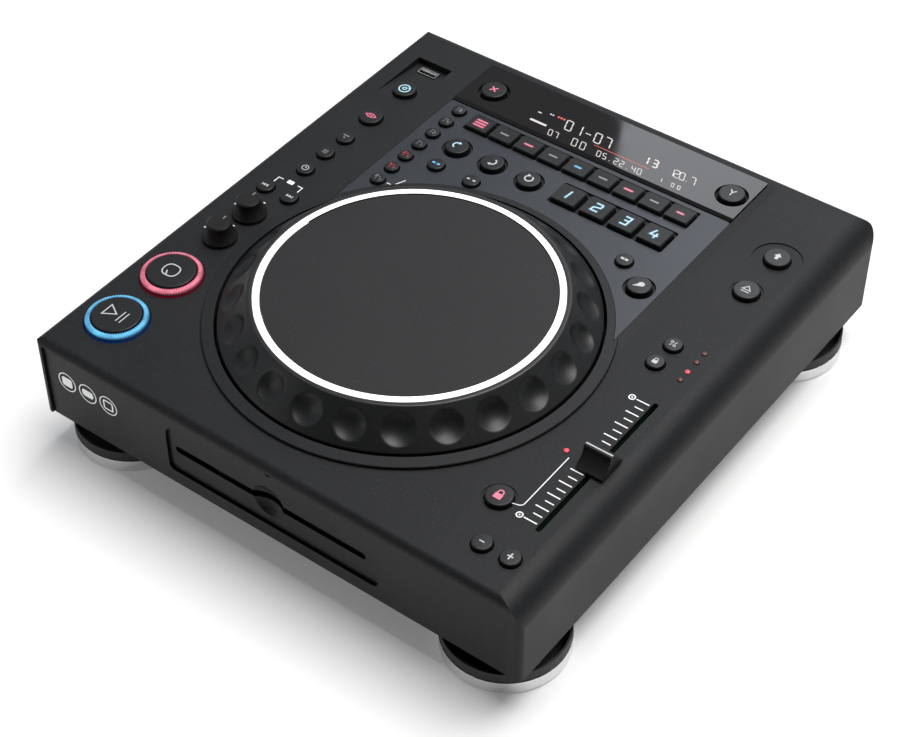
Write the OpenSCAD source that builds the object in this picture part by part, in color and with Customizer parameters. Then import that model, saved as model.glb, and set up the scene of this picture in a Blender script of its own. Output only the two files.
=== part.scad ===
// Tabletop disc player with a large jog wheel, a control console, a pitch fader and a slot-in drive.
// Sizes are in millimetres. +X is the player's right, +Y its back, +Z up; it stands on z = 0.

/* [Shell] */
// Width of the shell
body_w = 327; // [324:1:345]
// Depth of the shell
body_d = 356; // [354:1:376]
// Height of the shell's front wall
front_h = 56; // [54:0.5:62]
// Height of the shell's back wall
back_h = 60.6; // [58:0.1:66]
// Wall thickness of the moulded shell
shell_t = 3; // [2.6:0.1:3.2]
// Rounding of the left top edge
left_r = 6; // [4:0.5:8]
// Rounding of the right top edge
right_r = 16; // [12:1:18]
// Rounding of the back top edge
back_r = 5.5; // [3.5:0.5:8]
// Rounding of the front top edge
front_r = 4.4; // [4:0.1:4.6]
// Rounding of the back upright edges
rear_corner_r = 6.5; // [4:0.5:9]
// Rounding of the front upright edges
front_corner_r = 4; // [3.5:0.5:5]

/* [Feet] */
// Height of the feet
foot_h = 24; // [20:1:30]
// Radius of a foot's metal ring
foot_r = 35.2; // [30:0.2:36]
// Height of a foot's metal ring
foot_ring_h = 7.6; // [6:0.2:10]
// Height of a foot's black cup
foot_cup_h = 15.2; // [12:0.2:18]
// Distance between the left and right feet's axes
foot_span_x = 260.6; // [250:1:262]
// Distance from the front edge to the front feet's axes
foot_front = 35.4; // [35.2:0.1:38]
// Distance from the back edge to the back feet's axes
foot_back = 38; // [35.2:0.1:44]

/* [Front panel] */
// Shell rim left of the panel
rim_left = 4.6; // [4:0.2:6]
// Shell rim right of the panel
rim_right = 8; // [6:0.5:10]
// Shell rim above the panel
rim_top = 5; // [4.6:0.1:6]
// Depth by which the panel sits behind the rim
panel_inset = 1.5; // [0.8:0.1:2]
// Thickness of the panel
panel_t = 3.4; // [3:0.1:4]
// Width of the disc slot
slot_w = 130; // [126:1:134]
// Height of the disc slot
slot_h = 4.6; // [4.4:0.1:6]
// Height of the disc slot's middle above the shell's bottom edge
slot_z = 26; // [24:0.5:28]
// Width of the recess around the slot
recess_w = 143.5; // [140:0.5:150]
// Height of the recess around the slot
recess_h = 34; // [32:0.5:36]
// Depth of the recess around the slot
recess_depth = 1.6; // [0.8:0.1:1.8]
// Radius of the finger dish
dish_r = 10.5; // [9:0.5:12]
// Depth of the finger dish
dish_depth = 3.6; // [3:0.1:4]

/* [Jog wheel] */
// Place of the jog wheel's axis from the middle line
jog_x = -6.3; // [-8:0.1:-5]
// Distance from the front edge to the jog wheel's axis
jog_front = 133.8; // [132:0.2:136]
// Radius of the jog wheel
jog_r = 106.2; // [103:0.2:106.6]
// Height of the jog wheel above the deck
jog_h = 20; // [18:0.5:24]
// Radius of the touch plate
plate_r = 81.8; // [78:0.2:82.4]
// Width of the light ring
light_w = 3.7; // [3:0.1:4]
// Number of finger dimples
dimple_count = 24; // [18:1:26]
// Radius of a finger dimple
dimple_r = 9; // [7:0.2:9.4]
// Depth of a finger dimple
dimple_depth = 2.6; // [2:0.1:3]
// Gap between the jog wheel and the shell's collar
collar_gap = 1.8; // [1.2:0.1:2.4]
// Width of the shell's collar
collar_w = 7; // [6:0.5:8]
// Height of the collar's inner lip above the deck
collar_h = 2.4; // [2:0.1:3]
// Fall of the collar from its inner lip to its outer edge
collar_fall = 0.5; // [0.3:0.1:1]
// Radius of the jog wheel's spindle
spindle_r = 5; // [4:0.5:6]

/* [Console] */
// Width of the console's plate and display lens
console_w = 199; // [196:1:202]
// Place of the console's middle from the middle line
console_x = -4.1; // [-5:0.1:-3]
// Height of the console above the deck
console_rise = 1.8; // [1.2:0.1:2.4]
// Width of the console's right bevel
bevel_right = 4.8; // [3:0.2:5]
// Width of the console's left and back bevels
bevel_thin = 1.3; // [1:0.1:2]
// Distance from the back edge to the display lens
lens_back = 10.6; // [10:0.2:12]
// Depth of the display lens
lens_d = 42; // [40:0.5:43]
// Height of the lens above the console
lens_rise = 1.2; // [0.8:0.1:1.6]
// Thickness of the control plate
plate_t = 1.6; // [1.2:0.1:2]
// Thickness of the jog wheel's collar left in front of the control plate
plate_lip = 4.4; // [3.6:0.1:5]

/* [Keys] */
// Way that a key travels
key_travel = 1.2; // [0.8:0.1:1.4]
// Clearance around a key
key_gap = 0.6; // [0.5:0.05:0.8]
// Width of the dark ring that is left around a round key of the console
ring_gap = 2.2; // [1.6:0.1:2.4]
// Radius of the play and cue caps
play_r = 14.1; // [13:0.1:14.4]
// Radius of the play and cue light crowns
crown_r = 18.2; // [17.4:0.1:18.4]
// Width of an effect key
fx_w = 15.6; // [14:0.2:15.8]
// Depth of an effect key
fx_d = 12.8; // [11:0.2:13.4]
// Pitch of the effect keys
fx_pitch = 17.8; // [17.8:0.1:18]
// Width of a pad
pad_w = 16.4; // [15:0.2:16.8]
// Depth of a pad
pad_d = 15.6; // [14:0.2:16]
// Pitch of the pads
pad_pitch = 19.8; // [19.4:0.1:20]
// Pitch of the beat keys
beat_pitch = 13.4; // [13:0.1:13.6]

/* [Fader and knobs] */
// Length of the fader's slot
fader_slot = 110; // [110:1:114]
// Way that the fader travels
fader_travel = 100; // [96:1:100]
// Width of the fader's slot
fader_slot_w = 3; // [2.6:0.1:3.4]
// Width of the fader's cap
cap_w = 16.6; // [15:0.2:17]
// Length of the fader's cap
cap_d = 18.4; // [17:0.2:19]
// Height of the fader's cap
cap_h = 12.4; // [11:0.2:14]
// Radius of a knob at the deck
knob_r = 10.2; // [9:0.1:10.6]
// Radius of a knob at its top
knob_top_r = 7.2; // [6.4:0.1:7.6]
// Height of a knob
knob_h = 12; // [10:0.5:14]

/* [Hidden] */
$fn = 72;
small = 0.01;
least_r = 0.5;
edge_r = 0.4;
run_fit = 0.06;
seat = 0.25;
tilt = atan((back_h - front_h) / body_d);
jack_out = 6;
back_y = (body_d - jack_out) / 2;
front_y = -(body_d + jack_out) / 2;
side_x = body_w / 2;
deck_z = foot_h + front_h - front_y * tan(tilt);

// jog wheel and its well, heights from the deck
jog_y = front_y + jog_front;
well_r = jog_r + collar_gap;
well_t = 2.6;
well_floor = -13;
well_floor_t = 2.6;
skirt_low = -9;
lip_r = plate_r + light_w + 2.9;
slope_low = 2.8;
slope_run = jog_r - lip_r;
slope_fall = jog_h - slope_low;
slope_len = sqrt(slope_run * slope_run + slope_fall * slope_fall);
slope_wall = 5.5;
dimple_phase = 4;
seat_depth = 4;
web_low = jog_h - 8;
hub_r = 16;
bush_r = 8;
bush_flange_r = 14;
bush_flange_t = 2;
hub_low = well_floor + bush_flange_t + 0.3;
spindle_low = well_floor - 9.5;
circlip_t = 1.2;

// console, heights from the deck
con_l = console_x - console_w / 2;
con_r = console_x + console_w / 2;
lens_y1 = back_y - lens_back;
lens_y0 = lens_y1 - lens_d;
plate_y1 = lens_y0 - 0.8;
console_floor = console_rise - plate_t;
lens_top = console_rise + lens_rise;
plate_arc_r = well_r + plate_lip;
window = [130, 29];
window_x = 4;
window_y = lens_y0 + 20;

// boards, heights from the deck
board_top = -12;
board_t = 1.6;
board_gap = 1.8;
board_edge = 5;
board_notch = [-110, 100, 33.8];
board_slits = [con_l - 6, con_r + 6];
board_slit = 1.2;
pot_body = [12, 13, 8.4];
pot_low = 0.4;
pot_floor = 2;
switch_w = 6;
stem_r = 1.9;
stem_low = board_top + 2.7;
switch_top = stem_low + key_travel;
flange_t = 1;
flange_top = -shell_t - 0.3;
cap_round = 0.8;
pilot_base = [4, 2.4];

// boards over the base pan: place, size, and stand-off height, radius and inset
supply_at = [-140, back_y - 145];
supply_size = [65, 120];
transformer_at = [10, 50];
transformer = [32, 28, 22];
capacitor_at = [48, [14, 30]];
capacitor = [20, 6.5];
main_at = [-60, back_y - 135];
main_size = [180, 105];
chip_x = [30, 80, 130];
chip_y = 35;
chip = [20, 20, 2];
standoff = [6, 3, 5];

// places along the left and right edges
left_x = -side_x + 28.9;
right_x = side_x - 31;
fader_x = side_x - 23.8;
range_x = side_x - 40.7;
lights_x = side_x - 23.6;

// fader and knobs
fader_y = front_y + 101.9;
fader_body = [9, 126, 8.4];
fader_body_top = -shell_t - 0.4;
fader_wall = 1;
knob_ys = [front_y + 121.9, front_y + 147.8];
knob_x = left_x;
knob_shaft_r = 3;
knob_bush_r = 3.8;
knob_hole_r = 4;

// Kinds of key: cap radius or cap width and depth, and the cap's height above what it stands in
small_key = [5.3, 2.2];
beat_key = [4.4, 2.2];
disc_key = [5.2, 2.2];
round_key = [7.2, 2.4];
big_key = [7.7, 2.4];
lens_key = [7.9, 2];
lock_key = [7.6, 2.4];
bend_key = [5.6, 2.4];
play_key = [play_r, 4.2];
shift_dish = [14.8, 0.7];
fx_key = [[fx_w, fx_d], 2.4];
pad_key = [[pad_w, pad_d], 2.6];

// Each key: name, place on the deck, kind, height of the face it stands in
beat_names = ["beat_1", "beat_2", "beat_3", "beat_4", "beat_5", "beat_6", "beat_7"];
fx_names = ["fx_1", "fx_2", "fx_3", "fx_4", "fx_5", "fx_6", "fx_7", "fx_8", "fx_9"];
pad_names = ["pad_1", "pad_2", "pad_3", "pad_4"];
beat_x = con_l + 11.2;
beat_y = back_y - 61.2;
fx_x = con_l + 30.2;
fx_y = back_y - 65.2;
pad_x = con_r - 87.5;
pad_y = back_y - 89.4;
con = console_rise;
keys = concat(
  [
    ["play", left_x - 0.6, front_y + 36.8, play_key, 0],
    ["cue", left_x - 0.6, front_y + 81.5, play_key, 0],
    ["reverse", left_x + 1, back_y - 96.1, round_key, 0],
    ["mode", left_x + 1, back_y - 62.5, round_key, 0],
    ["bank", left_x + 1.1, back_y - 121.2, small_key, 0],
    ["fx", left_x + 0.4, back_y - 139.3, small_key, 0],
    ["time", left_x + 0.5, back_y - 158.1, small_key, 0],
    ["prev", left_x - 8.3, back_y - 184.1, small_key, 0],
    ["next", left_x + 9.6, back_y - 184.1, small_key, 0],
    ["pitch_lock", fader_x - 28.2, front_y + 54.2, lock_key, 0],
    ["bend_minus", fader_x - 17, front_y + 24, bend_key, 0],
    ["bend_plus", fader_x + 0.1, front_y + 24.3, bend_key, 0],
    ["range", range_x + 0.3, back_y - 157.5, small_key, 0],
    ["lock", range_x - 0.4, back_y - 174.2, small_key, 0],
    ["shift", right_x, back_y - 63.3, big_key, 0],
    ["eject", right_x, back_y - 96.7, big_key, 0],
    ["loop_in", con_l + 31.4, back_y - 90.5, round_key, con],
    ["loop_out", con_l + 57.4, back_y - 90.6, round_key, con],
    ["reloop", con_l + 84, back_y - 90.7, round_key, con],
    ["memo", con_l + 31.2, back_y - 111.1, disc_key, con],
    ["sampler", con_l + 57.1, back_y - 111.3, disc_key, con],
    ["sync", con_r - 30.6, back_y - 117.1, disc_key, con],
    ["tap", con_r - 12, back_y - 130.3, round_key, con],
    ["x", con_l + 17.3, back_y - 33.5, lens_key, lens_top],
    ["y", con_r - 11.5, back_y - 33, lens_key, lens_top]
  ],
  [for (i = [0:len(beat_names) - 1]) [beat_names[i], beat_x, beat_y - i * beat_pitch, beat_key, con]],
  [for (i = [0:len(fx_names) - 1]) [fx_names[i], fx_x + i * fx_pitch, fx_y, fx_key, con]],
  [for (i = [0:len(pad_names) - 1]) [pad_names[i], pad_x + i * pad_pitch, pad_y, pad_key, con]]
);
fx_well = [(len(fx_names) - 1) * fx_pitch + fx_w + 2, fx_d + 3.4];
pad_well = [(len(pad_names) - 1) * pad_pitch + pad_w + 3, pad_d + 4.6];

// pilot lights: place on the deck
lights = [
  [lights_x, back_y - 152.4],
  [lights_x, back_y - 160.6],
  [lights_x, back_y - 169.6],
  [lights_x, back_y - 176.9],
  [fader_x - 19.3, fader_y - 1]
];
light_r = 1.5;

// USB pocket on the deck
pocket = [-side_x + 15.3, back_y - 72, -side_x + 41, back_y - 28.5];
pocket_depth = 4.5;
usb_w = 13.2;
usb_d = 5.7;
usb_wall = 0.5;
usb_tongue = 1.8;
usb_low = 2.6;
usb_x = -side_x + 27.9;
usb_y = back_y - 35.7;

// front panel
open_l = -side_x + rim_left;
open_r = side_x - rim_right;
panel_h = front_h - rim_top;
panel_y = front_y + panel_inset;
mouth_r = right_r - rim_top;
lug_hook = 0.8;
lug_w = 4.2;
lug_t = 1.6;
lug_low = 8;
recess_l = -side_x + 93.3;
recess_r = [4, 4, 8.5, 8.5];
slot_x = recess_l + recess_w / 2 - 1.7;
recess_z = foot_h + 9.2;
slot_boss = 2.6;
release_x = 2.6;
release_z = foot_h + 50;
release_r = [0.9, 2.4];
release_sink = 1.8;

// disc drive
drive_w = 148;
drive_d = 150;
drive_y0 = panel_y + panel_t + 3;
drive_floor = foot_h + 12;
drive_h = 22;
sheet_t = 1.2;
disc_r = 60;
stand_inset = [6, 8];
stand_r = 4;
roller_r = [1.5, 4];
roller_y = drive_y0 + 9;
roller_drop = 7;
roller_bare = 8;
motor = [14, 5];
clamp = [7.4, 8];
pivot = [1.5, 9.6];
rod_x = 18;
rod_r = 1.5;
rod_len = 52;
rod_block = [6, 4, 5];
sled = [44, 18, 5.4];
sled_y = 30;
laser = [3.4, 1.6];

// steel base pan and rear panel
pan_t = 1.2;
pan_w = body_w - 2 * shell_t - 2 * seat;
rear_open_w = 290;
rear_open_h = 46;
rear_y = back_y - shell_t + 0.6;
pan_y0 = panel_y + panel_t + 0.3;
pan_y1 = back_y - shell_t - seat;
pan_r = rear_corner_r - shell_t;
flange_inset = 30;
flange_h = 9;
vent = [3, 40];
vent_count = 12;
vent_pitch = 10;
vent_y = back_y - 55;
foot_screw_r = 2.2;
foot_y = [front_y + foot_front, back_y - foot_back];
post_r = 4;
post_inset = [10, 14];
post_mid_y = back_y - 115;
screw_r = 1.4;
inlet_x = -110;
rocker_x = -70;
usb_b_x = -10;
remote_x = 25;
line_x = [70, 88];
digital_x = 116;
jack_r = 4.1;
jack_len = 18;
washer_t = 1.6;
socket_z = foot_h + 24;
inlet_w = 27;
inlet_h = 20;
inlet_depth = 20;
inlet_flange = 2;
inlet_pins = [[-7, -1.6], [0, 2.2], [7, -1.6]];
inlet_pin = [2, 12, 4];
rocker_w = 13;
rocker_h = 19;
rocker_frame = 2.2;
rocker_gap = 0.5;
rocker_lean = 6;

// Places its children on the sloping deck, whose face is z = 0
module on_deck() {
  translate([0, 0, deck_z])
    rotate([tilt, 0, 0])
      children();
}

// The waste outside a rounded corner, for a corner that opens towards +X +Y before the turn
module nick(x, y, turn, r) {
  translate([x, y])
    rotate(turn)
      difference() {
        translate([-1, -1])
          square(r + 1);
        translate([r, r])
          circle(r);
      }
}

// Rectangle with a radius at each corner: lower left, lower right, upper right, upper left
module round_rect(x0, x1, y0, y1, r) {
  difference() {
    translate([x0, y0])
      square([x1 - x0, y1 - y0]);
    nick(x0, y0, 0, r[0]);
    nick(x1, y0, 90, r[1]);
    nick(x1, y1, 180, r[2]);
    nick(x0, y1, 270, r[3]);
  }
}

// Rectangle about the middle with one radius
module mid_rect(w, d, r) {
  round_rect(-w / 2, w / 2, -d / 2, d / 2, [r, r, r, r]);
}

// Slot with round ends, along Y
module slot_y(w, l) {
  square([w, l - w], center = true);
  translate([0, l / 2 - w / 2])
    circle(w / 2);
  translate([0, -l / 2 + w / 2])
    circle(w / 2);
}

// Outer form of the shell, drawn in by a wall on every side but the bottom
module form(wall) {
  w = side_x - wall;
  y0 = front_y + wall;
  y1 = back_y - wall;
  fr = max(front_corner_r - wall, least_r);
  rr = max(rear_corner_r - wall, least_r);
  l_r = left_r - wall;
  r_r = right_r - wall;
  b_r = back_r - wall;
  f_r = max(front_r - wall, least_r);
  difference() {
    translate([0, 0, foot_h])
      linear_extrude(back_h + 5)
        round_rect(-w, w, y0, y1, [fr, fr, rr, rr]);
    on_deck() {
      translate([-body_w, -body_d, -wall])
        cube([2 * body_w, 2 * body_d, 20]);
      rotate([90, 0, 0])
        linear_extrude(2 * body_d, center = true) {
          nick(-w, -wall, 270, l_r);
          nick(w, -wall, 180, r_r);
        }
      rotate([90, 0, 90])
        linear_extrude(2 * body_w, center = true) {
          nick(y0, -wall, 270, f_r);
          nick(y1, -wall, 180, b_r);
        }
    }
  }
}

// Raised console: a slab with a wide right bevel and thin left and back bevels
module console_slab() {
  y0 = jog_y + 0.3 * well_r;
  y1 = lens_y1 + 1;
  intersection() {
    rotate([90, 0, 0])
      linear_extrude(2 * body_d, center = true)
        polygon([
          [con_l - 0.5 - bevel_thin, 0],
          [con_l - 0.5, console_rise],
          [con_r + 0.5, console_rise],
          [con_r + 0.5 + bevel_right, 0],
          [con_r + 0.5 + bevel_right, -1],
          [con_l - 0.5 - bevel_thin, -1]
        ]);
    rotate([90, 0, 90])
      linear_extrude(2 * body_w, center = true)
        polygon([
          [y0, -1],
          [y0, console_rise],
          [y1, console_rise],
          [y1 + bevel_thin, 0],
          [y1 + bevel_thin, -1]
        ]);
  }
}

// Ring and bowl of the jog wheel's well
module well_body() {
  translate([jog_x, jog_y, 0])
    rotate_extrude()
      polygon([
        [bush_r + run_fit, well_floor],
        [well_r, well_floor],
        [well_r, collar_h],
        [well_r + collar_w - edge_r, collar_h - collar_fall],
        [well_r + collar_w, collar_h - collar_fall - edge_r],
        [well_r + collar_w, -1],
        [well_r + well_t, -1],
        [well_r + well_t, well_floor - well_floor_t],
        [bush_r + run_fit, well_floor - well_floor_t]
      ]);
}

// Outline of a key's hole in the faces that it comes through
module key_outline(k, gap) {
  translate([k[1], k[2]])
    if (is_list(k[3][0]))
      mid_rect(k[3][0][0] + 2 * gap, k[3][0][1] + 2 * gap, 1 + gap);
    else
      circle((k[3] == play_key ? crown_r : k[3][0]) + gap);
}

// Rounded groove around the keys that have a ring recess, and the wide dish of the shift key
module key_recesses() {
  for (k = keys) {
    if (k[0] == "shift")
      translate([k[1], k[2], -shift_dish[1]])
        cylinder(h = 2, r = shift_dish[0]);
    if (k[0] == "eject" || k[0] == "pitch_lock")
      translate([k[1], k[2], -0.6])
        cylinder(h = 2, r = k[3][0] + 2);
  }
}

// Outline of the front panel and of its mouth in the shell, drawn in by a gap: x and height
module panel_outline(gap) {
  round_rect(
    open_l + gap, open_r - gap, foot_h - (gap > 0 ? 0 : 1), foot_h + panel_h - gap,
    [edge_r, edge_r, mouth_r - gap, least_r]
  );
}

// Ramp-floored pocket of the USB port
module usb_pocket() {
  translate([pocket[0], 0, 0])
    rotate([90, 0, 90])
      linear_extrude(pocket[2] - pocket[0])
        polygon([[pocket[1], 0], [pocket[1], 1], [pocket[3], 1], [pocket[3], -pocket_depth]]);
}

// Floor and walls under the USB pocket
module usb_tub() {
  translate([pocket[0] - 2, 0, 0])
    rotate([90, 0, 90])
      linear_extrude(pocket[2] - pocket[0] + 4)
        polygon([
          [pocket[1], -1],
          [pocket[3] + 2, -1],
          [pocket[3] + 2, -pocket_depth - 2.4],
          [pocket[3] - 12, -pocket_depth - 2.4],
          [pocket[3] - 22, -shell_t],
          [pocket[1], -shell_t]
        ]);
}

// Places of the shell's screw posts
post_places = [
  for (x = [post_inset[0] - side_x, side_x - post_inset[0]])
    for (y = [front_y + post_inset[1], post_mid_y, back_y - post_inset[1]])
      [x, y]
];

module top_shell() {
  color([0.17, 0.18, 0.19])
    difference() {
      union() {
        difference() {
          form(0);
          translate([0, 0, -small])
            form(shell_t);
        }
        intersection() {
          form(0.5);
          for (p = post_places)
            translate([p[0], p[1], foot_h + pan_t + seat])
              cylinder(h = back_h + 10, r = post_r);
        }
        on_deck() {
          difference() {
            union() {
              console_slab();
              usb_tub();
            }
            translate([jog_x, jog_y, -50])
              cylinder(h = 100, r = well_r + well_t / 2);
          }
          well_body();
        }
      }
      for (p = post_places)
        translate([p[0], p[1], foot_h])
          cylinder(h = 20, r = screw_r);
      // mouths for the front panel and the rear panel
      translate([0, front_y + shell_t + small, 0])
        rotate([90, 0, 0])
          linear_extrude(shell_t + 1)
            panel_outline(0);
      translate([-rear_open_w / 2, back_y - shell_t - 1, foot_h - 1])
        cube([rear_open_w, shell_t + 2, rear_open_h + 1]);
      on_deck() {
        // mouth of the well through the deck
        translate([jog_x, jog_y, well_floor])
          cylinder(h = 50, r = well_r);
        // bed of the control plate and the lens
        translate([0, 0, console_floor])
          linear_extrude(10)
            difference() {
              round_rect(con_l - seat, con_r + seat, jog_y, lens_y1 + seat, [1, 1, 2, 2]);
              translate([jog_x, jog_y])
                circle(plate_arc_r);
            }
        translate([window_x, window_y, -shell_t - 1])
          linear_extrude(20)
            mid_rect(window[0], window[1], 1);
        translate([0, 0, -shell_t - 5])
          linear_extrude(20)
            for (k = keys)
              key_outline(k, key_gap);
        key_recesses();
        usb_pocket();
        translate([usb_x, usb_y, -20])
          linear_extrude(20)
            mid_rect(usb_w + 0.5, usb_d + 0.5, 0.6);
        translate([fader_x, fader_y, -shell_t - 1])
          linear_extrude(20)
            slot_y(fader_slot_w, fader_slot);
        for (y = knob_ys)
          translate([knob_x, y, -shell_t - 1])
            cylinder(h = 20, r = knob_hole_r);
        for (p = lights)
          translate([p[0], p[1], -shell_t - 1])
            cylinder(h = 20, r = light_r + 0.2);
      }
    }
}

module control_plate() {
  color([0.34, 0.36, 0.39])
    on_deck()
      translate([0, 0, console_floor])
        linear_extrude(plate_t)
          difference() {
            round_rect(con_l, con_r, jog_y, plate_y1, [1, 1, 1.4, 1.4]);
            translate([jog_x, jog_y])
              circle(plate_arc_r + seat);
            for (k = keys)
              if (k[4] == con && !is_list(k[3][0]))
                key_outline(k, k[3] == round_key ? ring_gap : key_gap);
            translate([fx_x + fx_pitch * (len(fx_names) - 1) / 2, fx_y + 0.9])
              mid_rect(fx_well[0], fx_well[1], 1.2);
            translate([pad_x + pad_pitch * (len(pad_names) - 1) / 2, pad_y + 0.9])
              mid_rect(pad_well[0], pad_well[1], 1.6);
          }
}

// Lens with a sloping front edge, over the display module
module display_lens() {
  t = lens_top - console_floor;
  color([0.05, 0.05, 0.06])
    on_deck()
      difference() {
        intersection() {
          translate([0, 0, console_floor])
            linear_extrude(t)
              round_rect(con_l, con_r, lens_y0, lens_y1, [1, 1, 1.6, 1.6]);
          rotate([90, 0, 90])
            linear_extrude(2 * body_w, center = true)
              polygon([
                [lens_y0, -1],
                [lens_y0, console_rise + 0.1],
                [lens_y0 + 2.2, lens_top],
                [lens_y1 - 0.6, lens_top],
                [lens_y1, lens_top - 0.6],
                [lens_y1, -1]
              ]);
        }
        translate([0, 0, console_floor - 1])
          linear_extrude(20)
            for (k = keys)
              if (k[4] == lens_top)
                key_outline(k, ring_gap);
      }
}

module front_panel() {
  dish_ball = (dish_r * dish_r + dish_depth * dish_depth) / (2 * dish_depth);
  face_y = panel_y + recess_depth;
  color([0.14, 0.14, 0.15])
    difference() {
      union() {
        translate([0, panel_y + panel_t, 0])
          rotate([90, 0, 0])
            linear_extrude(panel_t)
              panel_outline(seat);
        translate([slot_x, panel_y + small, foot_h + slot_z])
          rotate([-90, 0, 0])
            cylinder(h = panel_t + slot_boss, r = dish_r + 3);
        // lugs behind the shell's rim
        for (x = [open_l - lug_hook, open_r + lug_hook - lug_w])
          translate([x, front_y + shell_t + seat, foot_h + lug_low])
            cube([lug_w, lug_t, panel_h - mouth_r - lug_low]);
      }
      translate([0, face_y, 0])
        rotate([90, 0, 0])
          linear_extrude(5)
            round_rect(recess_l, recess_l + recess_w, recess_z, recess_z + recess_h, recess_r);
      // disc slot with round ends
      translate([slot_x, panel_y - 1, foot_h + slot_z])
        rotate([-90, 90, 0])
          linear_extrude(20)
            slot_y(slot_h, slot_w);
      translate([slot_x, face_y - dish_ball + dish_depth, foot_h + slot_z])
        sphere(dish_ball);
      // hole for releasing a stuck disc
      translate([slot_x + release_x, panel_y - 1, release_z])
        rotate([-90, 0, 0]) {
          cylinder(h = panel_t + 2, r = release_r[0]);
          cylinder(h = release_sink, r = release_r[1]);
        }
    }
}

// Sockets that the rear panel is cut out for: middle x, width, height, corner radius
module rear_cutouts() {
  translate([inlet_x, socket_z])
    mid_rect(inlet_w + 0.4, inlet_h + 0.4, 1.5);
  translate([rocker_x, socket_z])
    mid_rect(rocker_w + 2 * rocker_frame + 0.4, rocker_h + 2 * rocker_frame + 0.4, 1);
  translate([usb_b_x, socket_z])
    mid_rect(12.4, 11.4, 0.6);
  for (x = concat(line_x, [digital_x, remote_x]))
    translate([x, socket_z])
      circle(jack_r + 0.6);
}

module base_pan() {
  color([0.22, 0.22, 0.23])
    difference() {
      union() {
        translate([0, 0, foot_h])
          linear_extrude(pan_t) {
            round_rect(-pan_w / 2, pan_w / 2, pan_y0, pan_y1, [least_r, least_r, pan_r, pan_r]);
            translate([-rear_open_w / 2 + seat, pan_y1 - pan_t])
              square([rear_open_w - 2 * seat, rear_y - pan_y1 + pan_t]);
          }
        // folded side flanges and rear upright
        for (x = [-pan_w / 2, pan_w / 2 - pan_t])
          translate([x, front_y + flange_inset, foot_h])
            cube([pan_t, body_d - 2 * flange_inset, flange_h]);
        translate([-rear_open_w / 2 + seat, rear_y - pan_t, foot_h])
          cube([rear_open_w - 2 * seat, pan_t, rear_open_h - seat]);
      }
      translate([0, rear_y - 10, 0])
        rotate([90, 0, 0])
          mirror([0, 0, 1])
            linear_extrude(20)
              rear_cutouts();
      for (p = post_places)
        translate([p[0], p[1], foot_h - 1])
          cylinder(h = pan_t + 2, r = screw_r + 0.4);
      // cooling slots
      for (i = [0:vent_count - 1])
        translate([(i - (vent_count - 1) / 2) * vent_pitch, vent_y, foot_h - 1])
          linear_extrude(pan_t + 2)
            slot_y(vent[0], vent[1]);
      for (x = [-1, 1])
        for (y = foot_y)
          translate([x * foot_span_x / 2, y, foot_h - 1])
            cylinder(h = pan_t + 2, r = foot_screw_r);
    }
}

// One foot: a sole and cup, a metal ring around it, and the column that the pan stands on
module foot() {
  cup_r = foot_r - 1.2;
  rotate_extrude()
    polygon([
      [foot_screw_r - 0.1, 4],
      [9, 4],
      [9, 1.8],
      [cup_r - 3, 0],
      [cup_r - 0.4, 0],
      [cup_r, 0.6],
      [cup_r, foot_ring_h + 0.8],
      [foot_r - 0.3, foot_ring_h + 1.2],
      [foot_r - 0.2, foot_cup_h],
      [foot_r - 1.4, foot_cup_h],
      [cup_r - 2.4, 5],
      [16, 5],
      [13, foot_h - 4],
      [13, foot_h],
      [foot_screw_r - 0.1, foot_h]
    ]);
  difference() {
    translate([0, 0, 0.8])
      cylinder(h = foot_ring_h, r = foot_r);
    translate([0, 0, 0])
      cylinder(h = foot_ring_h + 2, r = cup_r);
  }
}

module feet() {
  color([0.5, 0.5, 0.52])
    for (x = [-1, 1])
      for (y = foot_y)
        translate([x * foot_span_x / 2, y, 0])
          foot();
}

// Slot-in drive: folded case, roller, spindle motor and pick-up on its rods
module disc_drive() {
  x0 = slot_x - drive_w / 2;
  y1 = drive_y0 + drive_d;
  tray_z = drive_floor + sheet_t;
  disc_y = drive_y0 + disc_r + stand_inset[0];
  color([0.6, 0.61, 0.63]) {
    difference() {
      translate([x0, drive_y0, drive_floor])
        cube([drive_w, drive_d, drive_h]);
      translate([x0 + sheet_t, drive_y0 - 1, tray_z])
        cube([drive_w - 2 * sheet_t, drive_d - sheet_t + 1, drive_h - 2 * sheet_t]);
    }
    // stands on the base pan
    for (x = [x0 + stand_inset[0], x0 + drive_w - stand_inset[0]])
      for (y = [drive_y0 + stand_inset[1], y1 - stand_inset[1]])
        translate([x, y, foot_h + pan_t])
          cylinder(h = drive_floor - foot_h - pan_t, r = stand_r);
    // feed roller on its shaft, in the side walls
    translate([x0 + sheet_t, roller_y, foot_h + slot_z - roller_drop])
      rotate([0, 90, 0]) {
        cylinder(h = drive_w - 2 * sheet_t, r = roller_r[0]);
        translate([0, 0, roller_bare])
          cylinder(h = drive_w - 2 * sheet_t - 2 * roller_bare, r = roller_r[1]);
      }
    // spindle motor and clamp hub under the disc
    translate([slot_x, disc_y, tray_z])
      for (part = [motor, clamp, pivot])
        cylinder(h = part[1], r = part[0]);
    // guide rods in their blocks
    for (x = [-rod_x, rod_x])
      translate([slot_x + x, disc_y + motor[0] + 2, tray_z]) {
        translate([0, 0, rod_block[2] / 2])
          rotate([-90, 0, 0])
            cylinder(h = rod_len, r = rod_r);
        for (y = [0, rod_len - rod_block[1]])
          translate([-rod_block[0] / 2, y, 0])
            cube(rod_block);
      }
    // laser pick-up across the rods
    translate([slot_x - sled[0] / 2, disc_y + sled_y, tray_z + 0.4]) {
      cube(sled);
      translate([sled[0] / 2, sled[1] / 2, sled[2]])
        cylinder(h = laser[1], r = laser[0]);
    }
  }
}

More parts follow.
